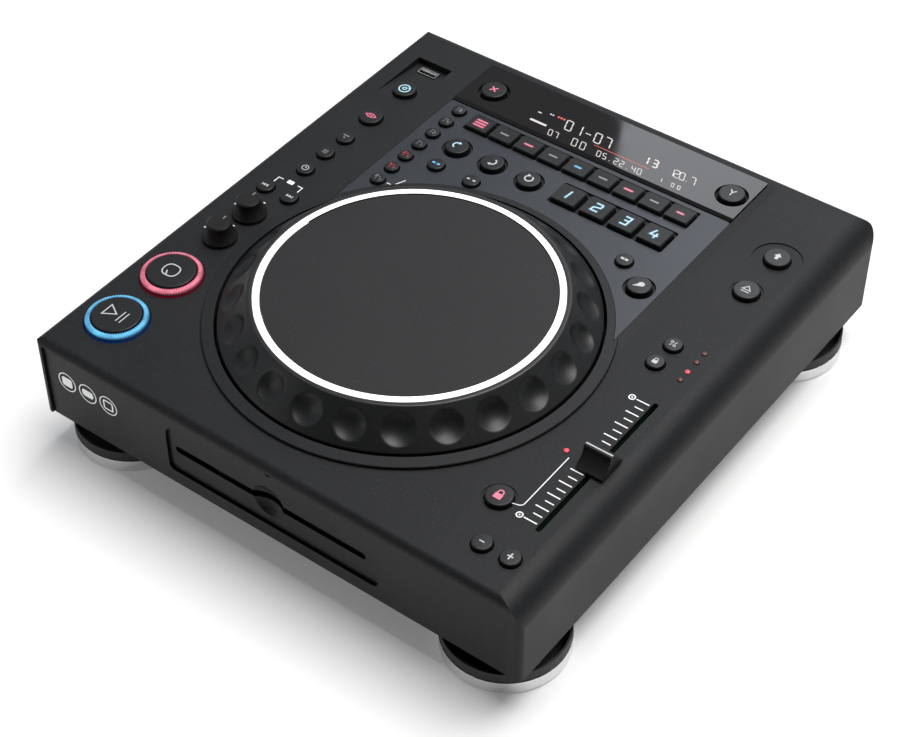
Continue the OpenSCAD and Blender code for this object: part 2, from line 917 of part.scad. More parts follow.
// Tactile switch with the well that a key's stem sinks into
module tact_switch(k) {
  translate([k[1], k[2], board_top])
    difference() {
      translate([-switch_w / 2, -switch_w / 2, 0])
        cube([switch_w, switch_w, switch_top - board_top]);
      translate([0, 0, 0.6])
        cylinder(h = 10, r = stem_r + 0.3);
    }
}

// Control boards: a sheet around the well, parted into left, right and console boards
module control_board() {
  difference() {
    translate([0, 0, board_top - board_t])
      linear_extrude(board_t)
        difference() {
          round_rect(board_edge - side_x, side_x - board_edge, front_y + 12, back_y - 8, [3, 3, 3, 3]);
          translate([jog_x, jog_y])
            circle(well_r + well_t + board_gap);
          // notch over the disc drive
          translate([board_notch[0], front_y])
            square([board_notch[1] - board_notch[0], jog_front - board_notch[2]]);
          for (p = post_places)
            translate([p[0], p[1]])
              circle(post_r + 1.8);
          translate([fader_x, fader_y])
            square([fader_body[0] + 1, fader_body[1] + 1], center = true);
          for (x = board_slits)
            translate([x, jog_y])
              square([board_slit, body_d]);
        }
  }
}

// Board on four stand-offs over the base pan
module floor_board(size) {
  for (x = [standoff[2], size[0] - standoff[2]])
    for (y = [standoff[2], size[1] - standoff[2]])
      translate([x, y, 0])
        cylinder(h = standoff[0], r = standoff[1]);
  translate([0, 0, standoff[0]])
    cube([size[0], size[1], board_t]);
}

module circuit_boards() {
  color([0.1, 0.3, 0.16]) {
    on_deck() {
      control_board();
      for (k = keys)
        tact_switch(k);
      // pilot lights with their light pipes
      for (p = lights)
        translate([p[0], p[1], board_top]) {
          cylinder(h = -board_top + 0.4, r = light_r);
          cylinder(h = pilot_base[0], r = pilot_base[1]);
        }
      // display module under the lens
      translate([window_x, window_y, board_top])
        linear_extrude(console_floor - board_top - 0.3)
          mid_rect(window[0] - 2, window[1] - 2, 0.6);
      // knob potentiometers with their bushes
      for (y = knob_ys)
        translate([knob_x, y, board_top])
          difference() {
            union() {
              translate([-pot_body[0] / 2, -pot_body[1] / 2, 0])
                cube(pot_body);
              cylinder(h = -board_top - pot_low, r = knob_bush_r);
            }
            translate([0, 0, pot_floor])
              cylinder(h = 20, r = knob_shaft_r + run_fit);
          }
      // USB receptacle: a metal shell with its tongue
      translate([usb_x, usb_y, board_top])
        difference() {
          linear_extrude(-board_top - usb_low)
            mid_rect(usb_w, usb_d, 0.4);
          translate([0, 0, 1])
            linear_extrude(20)
              difference() {
                mid_rect(usb_w - 2 * usb_wall, usb_d - 2 * usb_wall, 0.3);
                translate([0, usb_tongue / 2])
                  square([usb_w - 4 * usb_wall, usb_tongue], center = true);
              }
        }
      // slide potentiometer: a channel under the fader's slot
      translate([fader_x, fader_y, fader_body_top - fader_body[2]])
        difference() {
          translate([-fader_body[0] / 2, -fader_body[1] / 2, 0])
            cube(fader_body);
          translate([-fader_body[0] / 2 + fader_wall, -fader_body[1] / 2 + fader_wall, fader_wall])
            cube([for (size = fader_body) size - 2 * fader_wall]);
          linear_extrude(20)
            slot_y(fader_slot_w, fader_slot + 2);
        }
    }
    // power supply board with its transformer and capacitors
    translate([supply_at[0], supply_at[1], foot_h + pan_t]) {
      floor_board(supply_size);
      translate([transformer_at[0], transformer_at[1], standoff[0] + board_t])
        cube(transformer);
      for (y = capacitor_at[1])
        translate([capacitor_at[0], y, standoff[0] + board_t])
          cylinder(h = capacitor[0], r = capacitor[1]);
    }
    // main board behind the drive, with its chips
    translate([main_at[0], main_at[1], foot_h + pan_t]) {
      floor_board(main_size);
      for (x = chip_x)
        translate([x, chip_y, standoff[0] + board_t])
          cube(chip);
    }
    rear_sockets();
  }
}

// Sockets of the rear panel
module rear_sockets() {
  in_y = rear_y - pan_t;
  // mains inlet with three pins, and its flange outside the panel
  translate([inlet_x, in_y, socket_z]) {
    difference() {
      union() {
        rotate([90, 0, 0])
          linear_extrude(inlet_depth)
            mid_rect(inlet_w, inlet_h, 1.4);
        translate([0, pan_t + inlet_flange, 0])
          rotate([90, 0, 0])
            linear_extrude(pan_t + inlet_flange + small)
              mid_rect(inlet_w, inlet_h, 1.4);
        translate([0, pan_t + inlet_flange, 0])
          rotate([90, 0, 0])
            linear_extrude(inlet_flange)
              mid_rect(inlet_w + 2 * inlet_flange, inlet_h + 2 * inlet_flange, 2.4);
      }
      translate([0, inlet_depth / 2, 0])
        rotate([90, 0, 0])
          linear_extrude(inlet_depth * 3 / 2 - 4)
            mid_rect(inlet_w - 3.6, inlet_h - 4, 2.6);
    }
    for (p = inlet_pins)
      translate([p[0] - inlet_pin[0] / 2, 3 - inlet_depth, p[1] - inlet_pin[2] / 2])
        cube(inlet_pin);
  }
  // frame of the power switch
  translate([rocker_x, in_y, socket_z]) {
    difference() {
      union() {
        translate([0, pan_t + 1.6, 0])
          rotate([90, 0, 0])
            linear_extrude(16)
              mid_rect(rocker_w + 2 * rocker_frame, rocker_h + 2 * rocker_frame, 0.8);
        translate([0, pan_t + 1.6, 0])
          rotate([90, 0, 0])
            linear_extrude(1.6)
              mid_rect(rocker_w + 2 * rocker_frame + 4, rocker_h + 2 * rocker_frame + 4, 1.6);
      }
      translate([0, 10, 0])
        rotate([90, 0, 0])
          linear_extrude(20)
            mid_rect(rocker_w + 2 * rocker_gap, rocker_h + 2 * rocker_gap, 0.4);
      // bearing holes of the rocker's pins
      translate([0, -1, 0])
        rotate([0, 90, 0])
          cylinder(h = rocker_w + 4, r = 1.5 + run_fit, center = true);
    }
  }
  // computer socket
  translate([usb_b_x, in_y + pan_t + 0.6, socket_z])
    rotate([90, 0, 0])
      difference() {
        linear_extrude(16)
          mid_rect(12, 11, 0.5);
        translate([0, 0, -1])
          linear_extrude(11)
            difference() {
              mid_rect(8.6, 7.9, 1);
              square([5.6, 3.2], center = true);
            }
      }
  // line outputs, digital output and remote socket
  for (x = concat(line_x, [digital_x]))
    translate([x, in_y + pan_t + jack_out + 0.8 + washer_t, socket_z])
      rotate([90, 0, 0])
        difference() {
          union() {
            cylinder(h = jack_len, r = jack_r);
            translate([0, 0, jack_out + 0.8])
              cylinder(h = washer_t, r = jack_r + 2.4);
          }
          translate([0, 0, -1])
            cylinder(h = 11, r = 1.7);
        }
  translate([remote_x, in_y + pan_t + 0.8 + washer_t, socket_z])
    rotate([90, 0, 0])
      difference() {
        union() {
          cylinder(h = jack_len - 4, r = jack_r);
          translate([0, 0, 0.8])
            cylinder(h = washer_t, r = jack_r + 1.7);
        }
        translate([0, 0, -1])
          cylinder(h = 12, r = 1.8);
      }
  // board that carries them
  translate([usb_b_x - 10, in_y - 15.6, socket_z - 10])
    cube([digital_x - usb_b_x + 24, board_t, 24]);
}

// Flanged bush of the jog wheel, seated in the floor of the well
module jog_bearing() {
  color([0.7, 0.7, 0.68])
    on_deck()
      translate([jog_x, jog_y, 0])
        rotate_extrude()
          polygon([
            [spindle_r + run_fit, well_floor - 7],
            [bush_r, well_floor - 7],
            [bush_r, well_floor],
            [bush_flange_r, well_floor],
            [bush_flange_r, well_floor + bush_flange_t],
            [spindle_r + run_fit, well_floor + bush_flange_t]
          ]);
}

module jog_wheel() {
  nx = slope_fall / slope_len;
  nz = slope_run / slope_len;
  ball = (dimple_r * dimple_r + dimple_depth * dimple_depth) / (2 * dimple_depth);
  mid_r = (lip_r + jog_r) / 2;
  mid_z = (jog_h + slope_low) / 2;
  reach = ball - dimple_depth;
  in_r = lip_r - slope_wall * nx;
  in_z = jog_h - slope_wall * nz;
  web_r = in_r + (in_z - web_low) * slope_run / slope_fall;
  skirt_in = jog_r - 3.5;
  skirt_z = in_z - (skirt_in - in_r) * slope_fall / slope_run;
  color([0.13, 0.14, 0.15])
    on_deck()
      translate([jog_x, jog_y, 0]) {
        difference() {
          rotate_extrude($fn = 144)
            polygon([
              [0, spindle_low],
              [spindle_r, spindle_low],
              [spindle_r, hub_low],
              [hub_r, hub_low],
              [hub_r, web_low],
              [web_r, web_low],
              [skirt_in, skirt_z],
              [skirt_in, skirt_low],
              [jog_r, skirt_low],
              [jog_r, slope_low],
              [lip_r + 0.5, jog_h - 0.48],
              [lip_r - 0.3, jog_h],
              [plate_r + light_w + 0.3, jog_h],
              [plate_r + light_w + 0.3, jog_h - seat_depth],
              [0, jog_h - seat_depth]
            ]);
          for (i = [0:dimple_count - 1])
            rotate(dimple_phase + i * 360 / dimple_count)
              translate([mid_r + reach * nx, 0, mid_z + reach * nz])
                sphere(ball);
          // groove for the retaining ring
          translate([0, 0, spindle_low + 1])
            difference() {
              cylinder(h = circlip_t, r = spindle_r + 1);
              translate([0, 0, -1])
                cylinder(h = circlip_t + 2, r = spindle_r - 0.8);
            }
        }
        // retaining ring
        translate([0, 0, spindle_low + 1])
          difference() {
            cylinder(h = circlip_t, r = spindle_r + 3);
            translate([0, 0, -1])
              cylinder(h = circlip_t + 2, r = spindle_r - 0.8);
          }
      }
}

// Touch plate and the light ring around it
module jog_plate() {
  color([0.24, 0.24, 0.25])
    on_deck()
      translate([jog_x, jog_y, jog_h - seat_depth]) {
        rotate_extrude($fn = 144)
          polygon([
            [0, 0],
            [plate_r - 0.2, 0],
            [plate_r - 0.2, seat_depth - 0.9],
            [plate_r - 0.6, seat_depth - 0.5],
            [0, seat_depth - 0.5]
          ]);
        rotate_extrude($fn = 144)
          polygon([
            [plate_r, 0],
            [plate_r + light_w, 0],
            [plate_r + light_w, seat_depth - 0.1],
            [plate_r, seat_depth - 0.1]
          ]);
      }
}

// Knob: a skirt that flares to the deck, a flat top, and the shaft into its bush
module knob(y) {
  n = 6;
  low = 0.7;
  rise = knob_h - 1.2;
  color([0.1, 0.1, 0.11])
    on_deck()
      translate([knob_x, y, 0])
        rotate_extrude()
          polygon(concat(
            [[0, board_top + 2.6], [knob_shaft_r, board_top + 2.6], [knob_shaft_r, low], [knob_r, low]],
            [for (i = [0:n])
              [
                knob_top_r + (knob_r - knob_top_r) * pow(1 - i / n, 2),
                low + 1.4 + (rise - low - 1.4) * i / n
              ]
            ],
            [[knob_top_r - 0.2, knob_h - 0.5], [knob_top_r - 0.8, knob_h], [0, knob_h]]
          ));
}

// Saddle-shaped fader cap on its stem and carriage
module pitch_fader() {
  n = 8;
  low = 0.7;
  toe = 1.4;
  ridge = 2.1;
  rise = cap_h - 0.5 - low - toe;
  run = cap_d / 2 - ridge;
  color([0.1, 0.1, 0.11])
    on_deck()
      translate([fader_x, fader_y, 0]) {
        translate([-cap_w / 2, 0, 0])
          rotate([90, 0, 90])
            linear_extrude(cap_w)
              polygon(concat(
                [[-cap_d / 2, low], [cap_d / 2, low]],
                [for (i = [0:n]) [ridge + run * pow(1 - i / n, 2.2), low + toe + rise * i / n]],
                [[ridge - 0.5, cap_h], [0.5 - ridge, cap_h]],
                [for (i = [n:-1:0]) [-ridge - run * pow(1 - i / n, 2.2), low + toe + rise * i / n]]
              ));
        translate([-0.9, -3.5, fader_body_top - 5])
          cube([1.8, 7, 5 - fader_body_top + low + 1]);
        translate([-3, -(fader_slot - fader_travel) / 2 - 1, fader_body_top - fader_wall - 0.4 - 4])
          cube([6, fader_slot - fader_travel + 2, 4]);
      }
}

// Rocker of the power switch, on two pins
module power_rocker() {
  rock_r = 24;
  color([0.08, 0.08, 0.09])
    translate([rocker_x, rear_y - pan_t - 1, socket_z]) rotate([-rocker_lean, 0, 0]) {
      difference() {
        translate([-rocker_w / 2, -4, 0.5 - rocker_h / 2])
          cube([rocker_w, 10, rocker_h - 1]);
        // hollow face that the finger presses
        translate([0, 4.4 + rock_r, 0])
          rotate([0, 90, 0])
            cylinder(h = rocker_w + 2, r = rock_r, center = true);
        for (s = [-1, 1])
          translate([0, -4, s * rocker_h / 2])
            rotate([s * 24, 0, 0])
              cube([rocker_w + 2, 5, 2.4], center = true);
      }
      rotate([0, 90, 0])
        cylinder(h = rocker_w + 3.4, r = 1.5, center = true);
    }
}

// Profile of a round cap with a rounded rim, from its foot to its middle
function cap_edge(r, top, round_off) =
  concat(
    [for (a = [0:22.5:90]) [r - round_off + round_off * cos(a), top - round_off + round_off * sin(a)]],
    [[0, top + 0.15]]
  );

// A key: its cap, a flange that stops it under the deck, and the stem to its switch
module key(k) {
  kind = k[3];
  top = k[4] + kind[1];
  color([0.1, 0.1, 0.11])
    on_deck()
      translate([k[1], k[2], 0])
        if (is_list(kind[0])) {
          w = kind[0][0];
          d = kind[0][1];
          translate([0, 0, flange_top - flange_t])
            linear_extrude(top - 0.6 - flange_top + flange_t)
              mid_rect(w, d, 1);
          translate([0, 0, top - 0.6])
            linear_extrude(0.6)
              mid_rect(w - 0.8, d - 0.8, 1);
          translate([-w / 2, -d / 2 - 1.5, flange_top - flange_t])
            cube([w, d + 3, flange_t]);
          translate([0, 0, stem_low])
            cylinder(h = flange_top - stem_low - flange_t + small, r = stem_r);
        } else if (kind == play_key) {
          rotate_extrude()
            polygon(concat(
              [
                [0, stem_low],
                [stem_r, stem_low],
                [stem_r, flange_top - flange_t],
                [crown_r + 1.6, flange_top - flange_t],
                [crown_r + 1.6, flange_top],
                [kind[0], flange_top]
              ],
              cap_edge(kind[0], top, cap_round)
            ));
          // light crown around the cap
          rotate_extrude()
            polygon([
              [kind[0] + 0.3, flange_top],
              [crown_r, flange_top],
              [crown_r, 1.4],
              [kind[0] + 1.6, 3],
              [kind[0] + 0.3, 3]
            ]);
        } else {
          rotate_extrude()
            polygon(concat(
              [
                [0, stem_low],
                [stem_r, stem_low],
                [stem_r, flange_top - flange_t],
                [kind[0] + 1.3, flange_top - flange_t],
                [kind[0] + 1.3, flange_top],
                [kind[0], flange_top]
              ],
              cap_edge(kind[0], top, cap_round)
            ));
        }
}

top_shell();
control_plate();
display_lens();
front_panel();
base_pan();
feet();
disc_drive();
circuit_boards();
jog_bearing();
jog_wheel();
jog_plate();
knob(knob_ys[0]);  // knob_front
knob(knob_ys[1]);  // knob_rear
pitch_fader();
power_rocker();
for (k = keys)
  key(k);
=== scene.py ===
import math

import bpy
import numpy as np
from mathutils import Matrix, Vector


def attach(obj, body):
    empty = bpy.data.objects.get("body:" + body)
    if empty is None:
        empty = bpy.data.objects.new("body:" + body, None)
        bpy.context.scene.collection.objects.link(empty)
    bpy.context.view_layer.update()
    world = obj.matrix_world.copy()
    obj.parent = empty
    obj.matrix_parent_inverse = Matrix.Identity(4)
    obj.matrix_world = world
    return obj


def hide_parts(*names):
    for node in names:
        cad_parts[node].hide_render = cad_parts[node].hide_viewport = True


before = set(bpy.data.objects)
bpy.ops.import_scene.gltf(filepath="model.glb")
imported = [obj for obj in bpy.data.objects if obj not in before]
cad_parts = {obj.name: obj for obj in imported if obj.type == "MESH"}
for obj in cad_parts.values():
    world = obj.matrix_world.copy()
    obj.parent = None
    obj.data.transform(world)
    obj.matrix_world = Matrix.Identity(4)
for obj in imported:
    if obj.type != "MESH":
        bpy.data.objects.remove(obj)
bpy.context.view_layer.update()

scene = bpy.context.scene
scene.view_settings.view_transform = "Standard"


# ---------------------------------------------------------------- camera
# The photograph is taken from the player's right, above its front edge, with a lens of about
# 84 mm on a 36 mm frame. The three turns and the place are those of a fit to the body's edges.
cam_turn = [math.radians(a) for a in (37.05, 43.87, -0.35)]
cam_place = Vector((0.5243, -0.7142, 0.8610))


def camera_axes(azimuth, elevation, roll):
    """Right, up and backward unit vectors of a camera that looks at the origin from that angle."""
    back = np.array([
        math.sin(azimuth) * math.cos(elevation),
        -math.cos(azimuth) * math.cos(elevation),
        math.sin(elevation),
    ])
    right = np.cross([0.0, 0.0, 1.0], back)
    right /= np.linalg.norm(right)
    up = np.cross(back, right)
    c, s = math.cos(roll), math.sin(roll)
    return c * right + s * up, c * up - s * right, back


cam_right, cam_up, cam_back = camera_axes(*cam_turn)
cam_data = bpy.data.cameras.new("Camera")
cam_data.lens = 83.97
cam_data.sensor_width = 36.0
cam_data.clip_start = 0.01
camera = bpy.data.objects.new("Camera", cam_data)
scene.collection.objects.link(camera)
cam_matrix = Matrix(np.column_stack([cam_right, cam_up, cam_back]).tolist()).to_4x4()
cam_matrix.translation = cam_place
camera.matrix_world = cam_matrix
scene.camera = camera


# ---------------------------------------------------------------- the sloping deck
# The shell's top face rises 4.6 mm over its 356 mm of depth, and every control stands square to it.
# Places on it are in millimetres from the shell's middle, with the height measured off the deck.
shell_front_h, shell_back_h, shell_depth = 56.0, 60.6, 356.0
shell_front_y, deck_front_z = -181.0, 80.0
shell_mid_y = -3.0
deck_tilt = math.atan((shell_back_h - shell_front_h) / shell_depth)
deck_z = deck_front_z - shell_front_y * math.tan(deck_tilt)
MM = 0.001


def on_deck(x, y, dz):
    """Row-frame metres of deck points: y and dz turn together about X by the deck's slope."""
    x, y, dz = np.broadcast_arrays(np.asarray(x, float), np.asarray(y, float) + shell_mid_y, dz)
    c, s = math.cos(deck_tilt), math.sin(deck_tilt)
    return np.stack([x, y * c - dz * s, deck_z + y * s + dz * c], axis=-1) * MM


# ---------------------------------------------------------------- studio
# A pale sweep under a large soft lamp overhead, a dim softbox behind the player whose edge shows in
# the display lens, and a weak fill. The room is darker on the camera's side, and the sweep near white.
def soft_box(name, centre, target, along, size, watts, colour):
    """A rectangular lamp that faces its target, with one side parallel to the direction along."""
    emitter = bpy.data.lights.new(name, "AREA")
    emitter.shape = "RECTANGLE"
    emitter.size, emitter.size_y = size
    emitter.energy = watts
    emitter.color = colour
    back = (Vector(centre) - Vector(target)).normalized()
    up = Vector(along) - back * back.dot(Vector(along))
    up.normalize()
    side = up.cross(back)
    turn = Matrix((side, up, back)).transposed().to_4x4()
    turn.translation = Vector(centre)
    obj = bpy.data.objects.new(name, emitter)
    scene.collection.objects.link(obj)
    obj.matrix_world = turn
    obj.visible_camera = False
    return obj


def mirrored(point, distance):
    """Where the camera's ray to a deck point goes on to after it is reflected by the deck."""
    normal = np.array([0.0, -math.sin(deck_tilt), math.cos(deck_tilt)])
    ray = point - np.array(cam_place)
    ray -= 2.0 * normal * (ray @ normal)
    return point + ray / np.linalg.norm(ray) * distance


# The softbox hangs where the camera sees it in the lens. Its edge crosses the lens on the line
# between two points of the deck, and it lies to the right of that line.
lens_top = 3.0
box_far = 1.5
glare = on_deck(50.0, 148.0, lens_top)
edge_back = mirrored(on_deck(-6.2, 167.3, lens_top), box_far)
edge_front = mirrored(on_deck(9.0, 138.1, lens_top), box_far)
box_edge = edge_back - edge_front
box_edge /= np.linalg.norm(box_edge)
box_mid = mirrored(glare, box_far)
box_face = glare - box_mid
box_face -= box_edge * (box_face @ box_edge)
box_face /= np.linalg.norm(box_face)
box_side = np.cross(box_edge, box_face)
if box_side @ (box_mid - edge_back) < 0:
    box_side = -box_side
box_wide, box_long, box_shift = 0.6, 0.8, 0.1
box_centre = (edge_back + edge_front) / 2 + box_side * box_wide / 2 - box_edge * box_shift
cool, warm, neutral = (0.93, 0.95, 1.0), (1.0, 0.99, 0.98), (1.0, 1.0, 1.0)
soft_box("Softbox", box_centre, box_centre + box_face, box_edge, (box_wide, box_long), 5.0, cool)
soft_box("Overhead", (0.35, 0.45, 2.1), (0.0, 0.0, 0.0), (0, 1, 0), (1.6, 1.6), 62.0, warm)
soft_box("Fill", (-1.5, -1.6, 0.7), (0.0, 0.0, 0.05), (0, 0, 1), (0.8, 0.8), 3.0, neutral)


def math_node(tree, operation, first, second):
    """A Math node whose two inputs are sockets or plain numbers."""
    node = tree.nodes.new("ShaderNodeMath")
    node.operation = operation
    for slot, value in enumerate((first, second)):
        if isinstance(value, (int, float)):
            node.inputs[slot].default_value = value
        else:
            tree.links.new(value, node.inputs[slot])
    return node.outputs[0]


def vector_node(tree, operation, first, second=(0.0, 0.0, 0.0)):
    """A Vector Math node on a socket and a constant vector."""
    node = tree.nodes.new("ShaderNodeVectorMath")
    node.operation = operation
    tree.links.new(first, node.inputs[0])
    node.inputs[1].default_value = second
    return node.outputs["Value" if operation in ("DOT_PRODUCT", "LENGTH") else "Vector"]


def range_node(tree, value, source, result, smooth=False):
    """A Map Range node, which carries a value from its source range onto the result range."""
    node = tree.nodes.new("ShaderNodeMapRange")
    node.interpolation_type = "SMOOTHSTEP" if smooth else "LINEAR"
    for label, amount in zip(("From Min", "From Max", "To Min", "To Max"), (*source, *result)):
        node.inputs[label].default_value = amount
    tree.links.new(value, node.inputs["Value"])
    return node.outputs["Result"]


# the room: brighter beyond the player, and nearly dark behind the camera
room_far, room_near, room_blend = 0.4, 0.03, 0.25
world = bpy.data.worlds.new("Studio")
world.use_nodes = True
scene.world = world
room = world.node_tree
room.nodes.clear()
w_out = room.nodes.new("ShaderNodeOutputWorld")
w_room = room.nodes.new("ShaderNodeBackground")
w_room.inputs["Color"].default_value = (0.92, 0.95, 1.0, 1)
w_look = room.nodes.new("ShaderNodeTexCoord").outputs["Generated"]
w_side = vector_node(room, "DOT_PRODUCT", w_look, (cam_back[0], cam_back[1], 0.0))
w_fade = range_node(room, w_side, (-room_blend, room_blend), (room_far, room_near), smooth=True)
room.links.new(w_fade, w_room.inputs["Strength"])
room.links.new(w_room.outputs[0], w_out.inputs["Surface"])

# the sweep: white paper, lifted a little in what the camera sees straight or in a reflection
reach = 14.0
paper_low, paper_high, paper_lift = 0.80, 0.84, 0.15
floor_corners = [(-reach, -reach, 0), (reach, -reach, 0), (reach, reach, 0), (-reach, reach, 0)]
floor_mesh = bpy.data.meshes.new("Sweep")
floor_mesh.from_pydata(floor_corners, [], [(0, 1, 2, 3)])
floor = bpy.data.objects.new("Sweep", floor_mesh)
scene.collection.objects.link(floor)
floor_mat = bpy.data.materials.new("sweep_paper")
floor_mat.use_nodes = True
paper = floor_mat.node_tree
f_bsdf = paper.nodes["Principled BSDF"]
f_bsdf.inputs["Roughness"].default_value = 0.55
f_bsdf.inputs["Specular IOR Level"].default_value = 0.25
f_noise = paper.nodes.new("ShaderNodeTexNoise")
f_noise.inputs["Scale"].default_value = 3.0
paper.links.new(paper.nodes.new("ShaderNodeTexCoord").outputs["Object"], f_noise.inputs["Vector"])
f_level = range_node(paper, f_noise.outputs["Fac"], (0.0, 1.0), (paper_low, paper_high))
f_tone = paper.nodes.new("ShaderNodeCombineColor")
for channel in ("Red", "Green", "Blue"):
    paper.links.new(f_level, f_tone.inputs[channel])
paper.links.new(f_tone.outputs["Color"], f_bsdf.inputs["Base Color"])
f_path = paper.nodes.new("ShaderNodeLightPath")
f_seen = math_node(paper, "MAXIMUM", f_path.outputs["Is Camera Ray"], f_path.outputs["Is Glossy Ray"])
f_seen = math_node(paper, "MAXIMUM", f_seen, f_path.outputs["Is Transmission Ray"])
f_glow = paper.nodes.new("ShaderNodeEmission")
paper.links.new(math_node(paper, "MULTIPLY", f_seen, paper_lift), f_glow.inputs["Strength"])
f_add = paper.nodes.new("ShaderNodeAddShader")
paper.links.new(f_bsdf.outputs[0], f_add.inputs[0])
paper.links.new(f_glow.outputs[0], f_add.inputs[1])
paper.links.new(f_add.outputs[0], paper.nodes["Material Output"].inputs["Surface"])
floor_mesh.materials.append(floor_mat)


# ---------------------------------------------------------------- shell
# One moulding of black ABS with a soft-touch coat: the deck, the side and back walls, the rim around
# the front panel, the console's platform and the jog wheel's collar and well. Screws that come up
# from the base pan hold it by its posts.
def shader_group(name, inputs, outputs):
    """An empty node group with those sockets: (name, kind, default) going in, (name, kind) out."""
    group = bpy.data.node_groups.new(name, "ShaderNodeTree")
    for label, kind, value in inputs:
        socket = group.interface.new_socket(name=label, in_out="INPUT", socket_type=kind)
        socket.default_value = value
    for label, kind in outputs:
        group.interface.new_socket(name=label, in_out="OUTPUT", socket_type=kind)
    return group, group.nodes.new("NodeGroupInput"), group.nodes.new("NodeGroupOutput")


def noise_at(tree, vector, scale, detail, low=0.0, high=1.0):
    """Noise on a vector, spread from its usual 0.3 to 0.7 onto low to high."""
    noise = tree.nodes.new("ShaderNodeTexNoise")
    noise.inputs["Detail"].default_value = detail
    tree.links.new(vector, noise.inputs["Vector"])
    if isinstance(scale, (int, float)):
        noise.inputs["Scale"].default_value = scale
    else:
        tree.links.new(scale, noise.inputs["Scale"])
    return range_node(tree, noise.outputs["Fac"], (0.3, 0.7), (low, high))


def mix_colour(tree, factor, low, high):
    """The colour between low and high that the factor picks; each is a socket or an (r, g, b) tuple."""
    node = tree.nodes.new("ShaderNodeMix")
    node.data_type = "RGBA"
    tree.links.new(factor, node.inputs["Factor"])
    for label, colour in (("A", low), ("B", high)):
        if isinstance(colour, tuple):
            node.inputs[label].default_value = (*colour, 1)
        else:
            tree.links.new(colour, node.inputs[label])
    return node.outputs["Result"]


# moulded grain: spark-eroded texture, slow changes of sheen, and a little settled dust
slow_scale, slow_sheen, slow_tone = 18.0, 0.035, 0.06
speck_scale, speck_from, dust_colour = 1300.0, 0.93, (0.16, 0.16, 0.165)
moulded, m_in, m_out = shader_group(
    "moulded_grain",
    [("Colour", "NodeSocketColor", (0.02, 0.02, 0.02, 1)), ("Roughness", "NodeSocketFloat", 0.5),
     ("Grain", "NodeSocketFloat", 2200.0), ("Depth", "NodeSocketFloat", 0.00002),
     ("Dust", "NodeSocketFloat", 0.1)],
    [("Colour", "NodeSocketColor"), ("Roughness", "NodeSocketFloat"), ("Normal", "NodeSocketVector")])
m_place = moulded.nodes.new("ShaderNodeTexCoord").outputs["Object"]
m_fine = noise_at(moulded, m_place, m_in.outputs["Grain"], 2.0)
m_bump = moulded.nodes.new("ShaderNodeBump")
m_bump.inputs["Strength"].default_value = 1.0
moulded.links.new(m_in.outputs["Depth"], m_bump.inputs["Distance"])
moulded.links.new(m_fine, m_bump.inputs["Height"])
moulded.links.new(m_bump.outputs["Normal"], m_out.inputs["Normal"])
m_slow = noise_at(moulded, m_place, slow_scale, 3.0, -1.0, 1.0)
m_sheen = math_node(moulded, "MULTIPLY", m_slow, slow_sheen)
m_rough = math_node(moulded, "ADD", m_in.outputs["Roughness"], m_sheen)
moulded.links.new(m_rough, m_out.inputs["Roughness"])
m_speck = math_node(moulded, "GREATER_THAN", noise_at(moulded, m_place, speck_scale, 1.0), speck_from)
m_share = math_node(moulded, "MULTIPLY", m_speck, m_in.outputs["Dust"])
m_dusty = mix_colour(moulded, m_share, m_in.outputs["Colour"], dust_colour)
m_tone = moulded.nodes.new("ShaderNodeHueSaturation")
moulded.links.new(m_dusty, m_tone.inputs["Color"])
m_value = math_node(moulded, "ADD", 1.0, math_node(moulded, "MULTIPLY", m_slow, slow_tone))
moulded.links.new(m_value, m_tone.inputs["Value"])
moulded.links.new(m_tone.outputs["Color"], m_out.inputs["Colour"])


def plastic(name, colour, roughness, grain=2200.0, depth=0.00002, dust=0.1, specular=0.5):
    """A moulded plastic: its colour and roughness through the grain group, into one Principled shader."""
    mat = bpy.data.materials.new(name)
    mat.use_nodes = True
    nodes, links = mat.node_tree.nodes, mat.node_tree.links
    bsdf = nodes["Principled BSDF"]
    group = nodes.new("ShaderNodeGroup")
    group.node_tree = moulded
    group.inputs["Colour"].default_value = (*colour, 1)
    group.inputs["Roughness"].default_value = roughness
    group.inputs["Grain"].default_value = grain
    group.inputs["Depth"].default_value = depth
    group.inputs["Dust"].default_value = dust
    links.new(group.outputs["Colour"], bsdf.inputs["Base Color"])
    links.new(group.outputs["Roughness"], bsdf.inputs["Roughness"])
    links.new(group.outputs["Normal"], bsdf.inputs["Normal"])
    bsdf.inputs["Specular IOR Level"].default_value = specular
    return mat


def dress(node, *materials):
    """Gives a solid of the frame its materials, the first of which covers it."""
    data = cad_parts[node].data
    data.materials.clear()
    for mat in materials:
        data.materials.append(mat)
    return data


def face_middles(data):
    """Middles of a mesh's faces, in millimetres."""
    out = np.zeros(len(data.polygons) * 3)
    data.polygons.foreach_get("center", out)
    return out.reshape(-1, 3) / MM


shell_black = (0.0105, 0.0112, 0.0123)
shell_coat = plastic("soft_touch_black", shell_black, 0.5, depth=0.000012, specular=0.18)
dress("top_shell", shell_coat)


# ---------------------------------------------------------------- control plate
# A sheet of aluminium, punched for the console's keys and painted blue-grey with a fine metallic
# flake. It lies in the console's bed, stuck down on the moulding.
slate = (0.028, 0.033, 0.039)
plate_paint = plastic("metallic_slate", slate, 0.36, grain=5200.0, depth=0.000006, specular=0.45)
plate_paint.node_tree.nodes["Principled BSDF"].inputs["Metallic"].default_value = 0.35
dress("control_plate", plate_paint)


# ---------------------------------------------------------------- display lens
# Black-backed acrylic over the display, polished, with an edge that slopes to the player. It is
# stuck down behind the control plate, and two round keys come up through it.
lens_black = (0.0025, 0.002, 0.0022)
lens_gloss = plastic("lens_acrylic", lens_black, 0.035, grain=60.0, depth=0.0, dust=0.0)
dress("display_lens", lens_gloss)


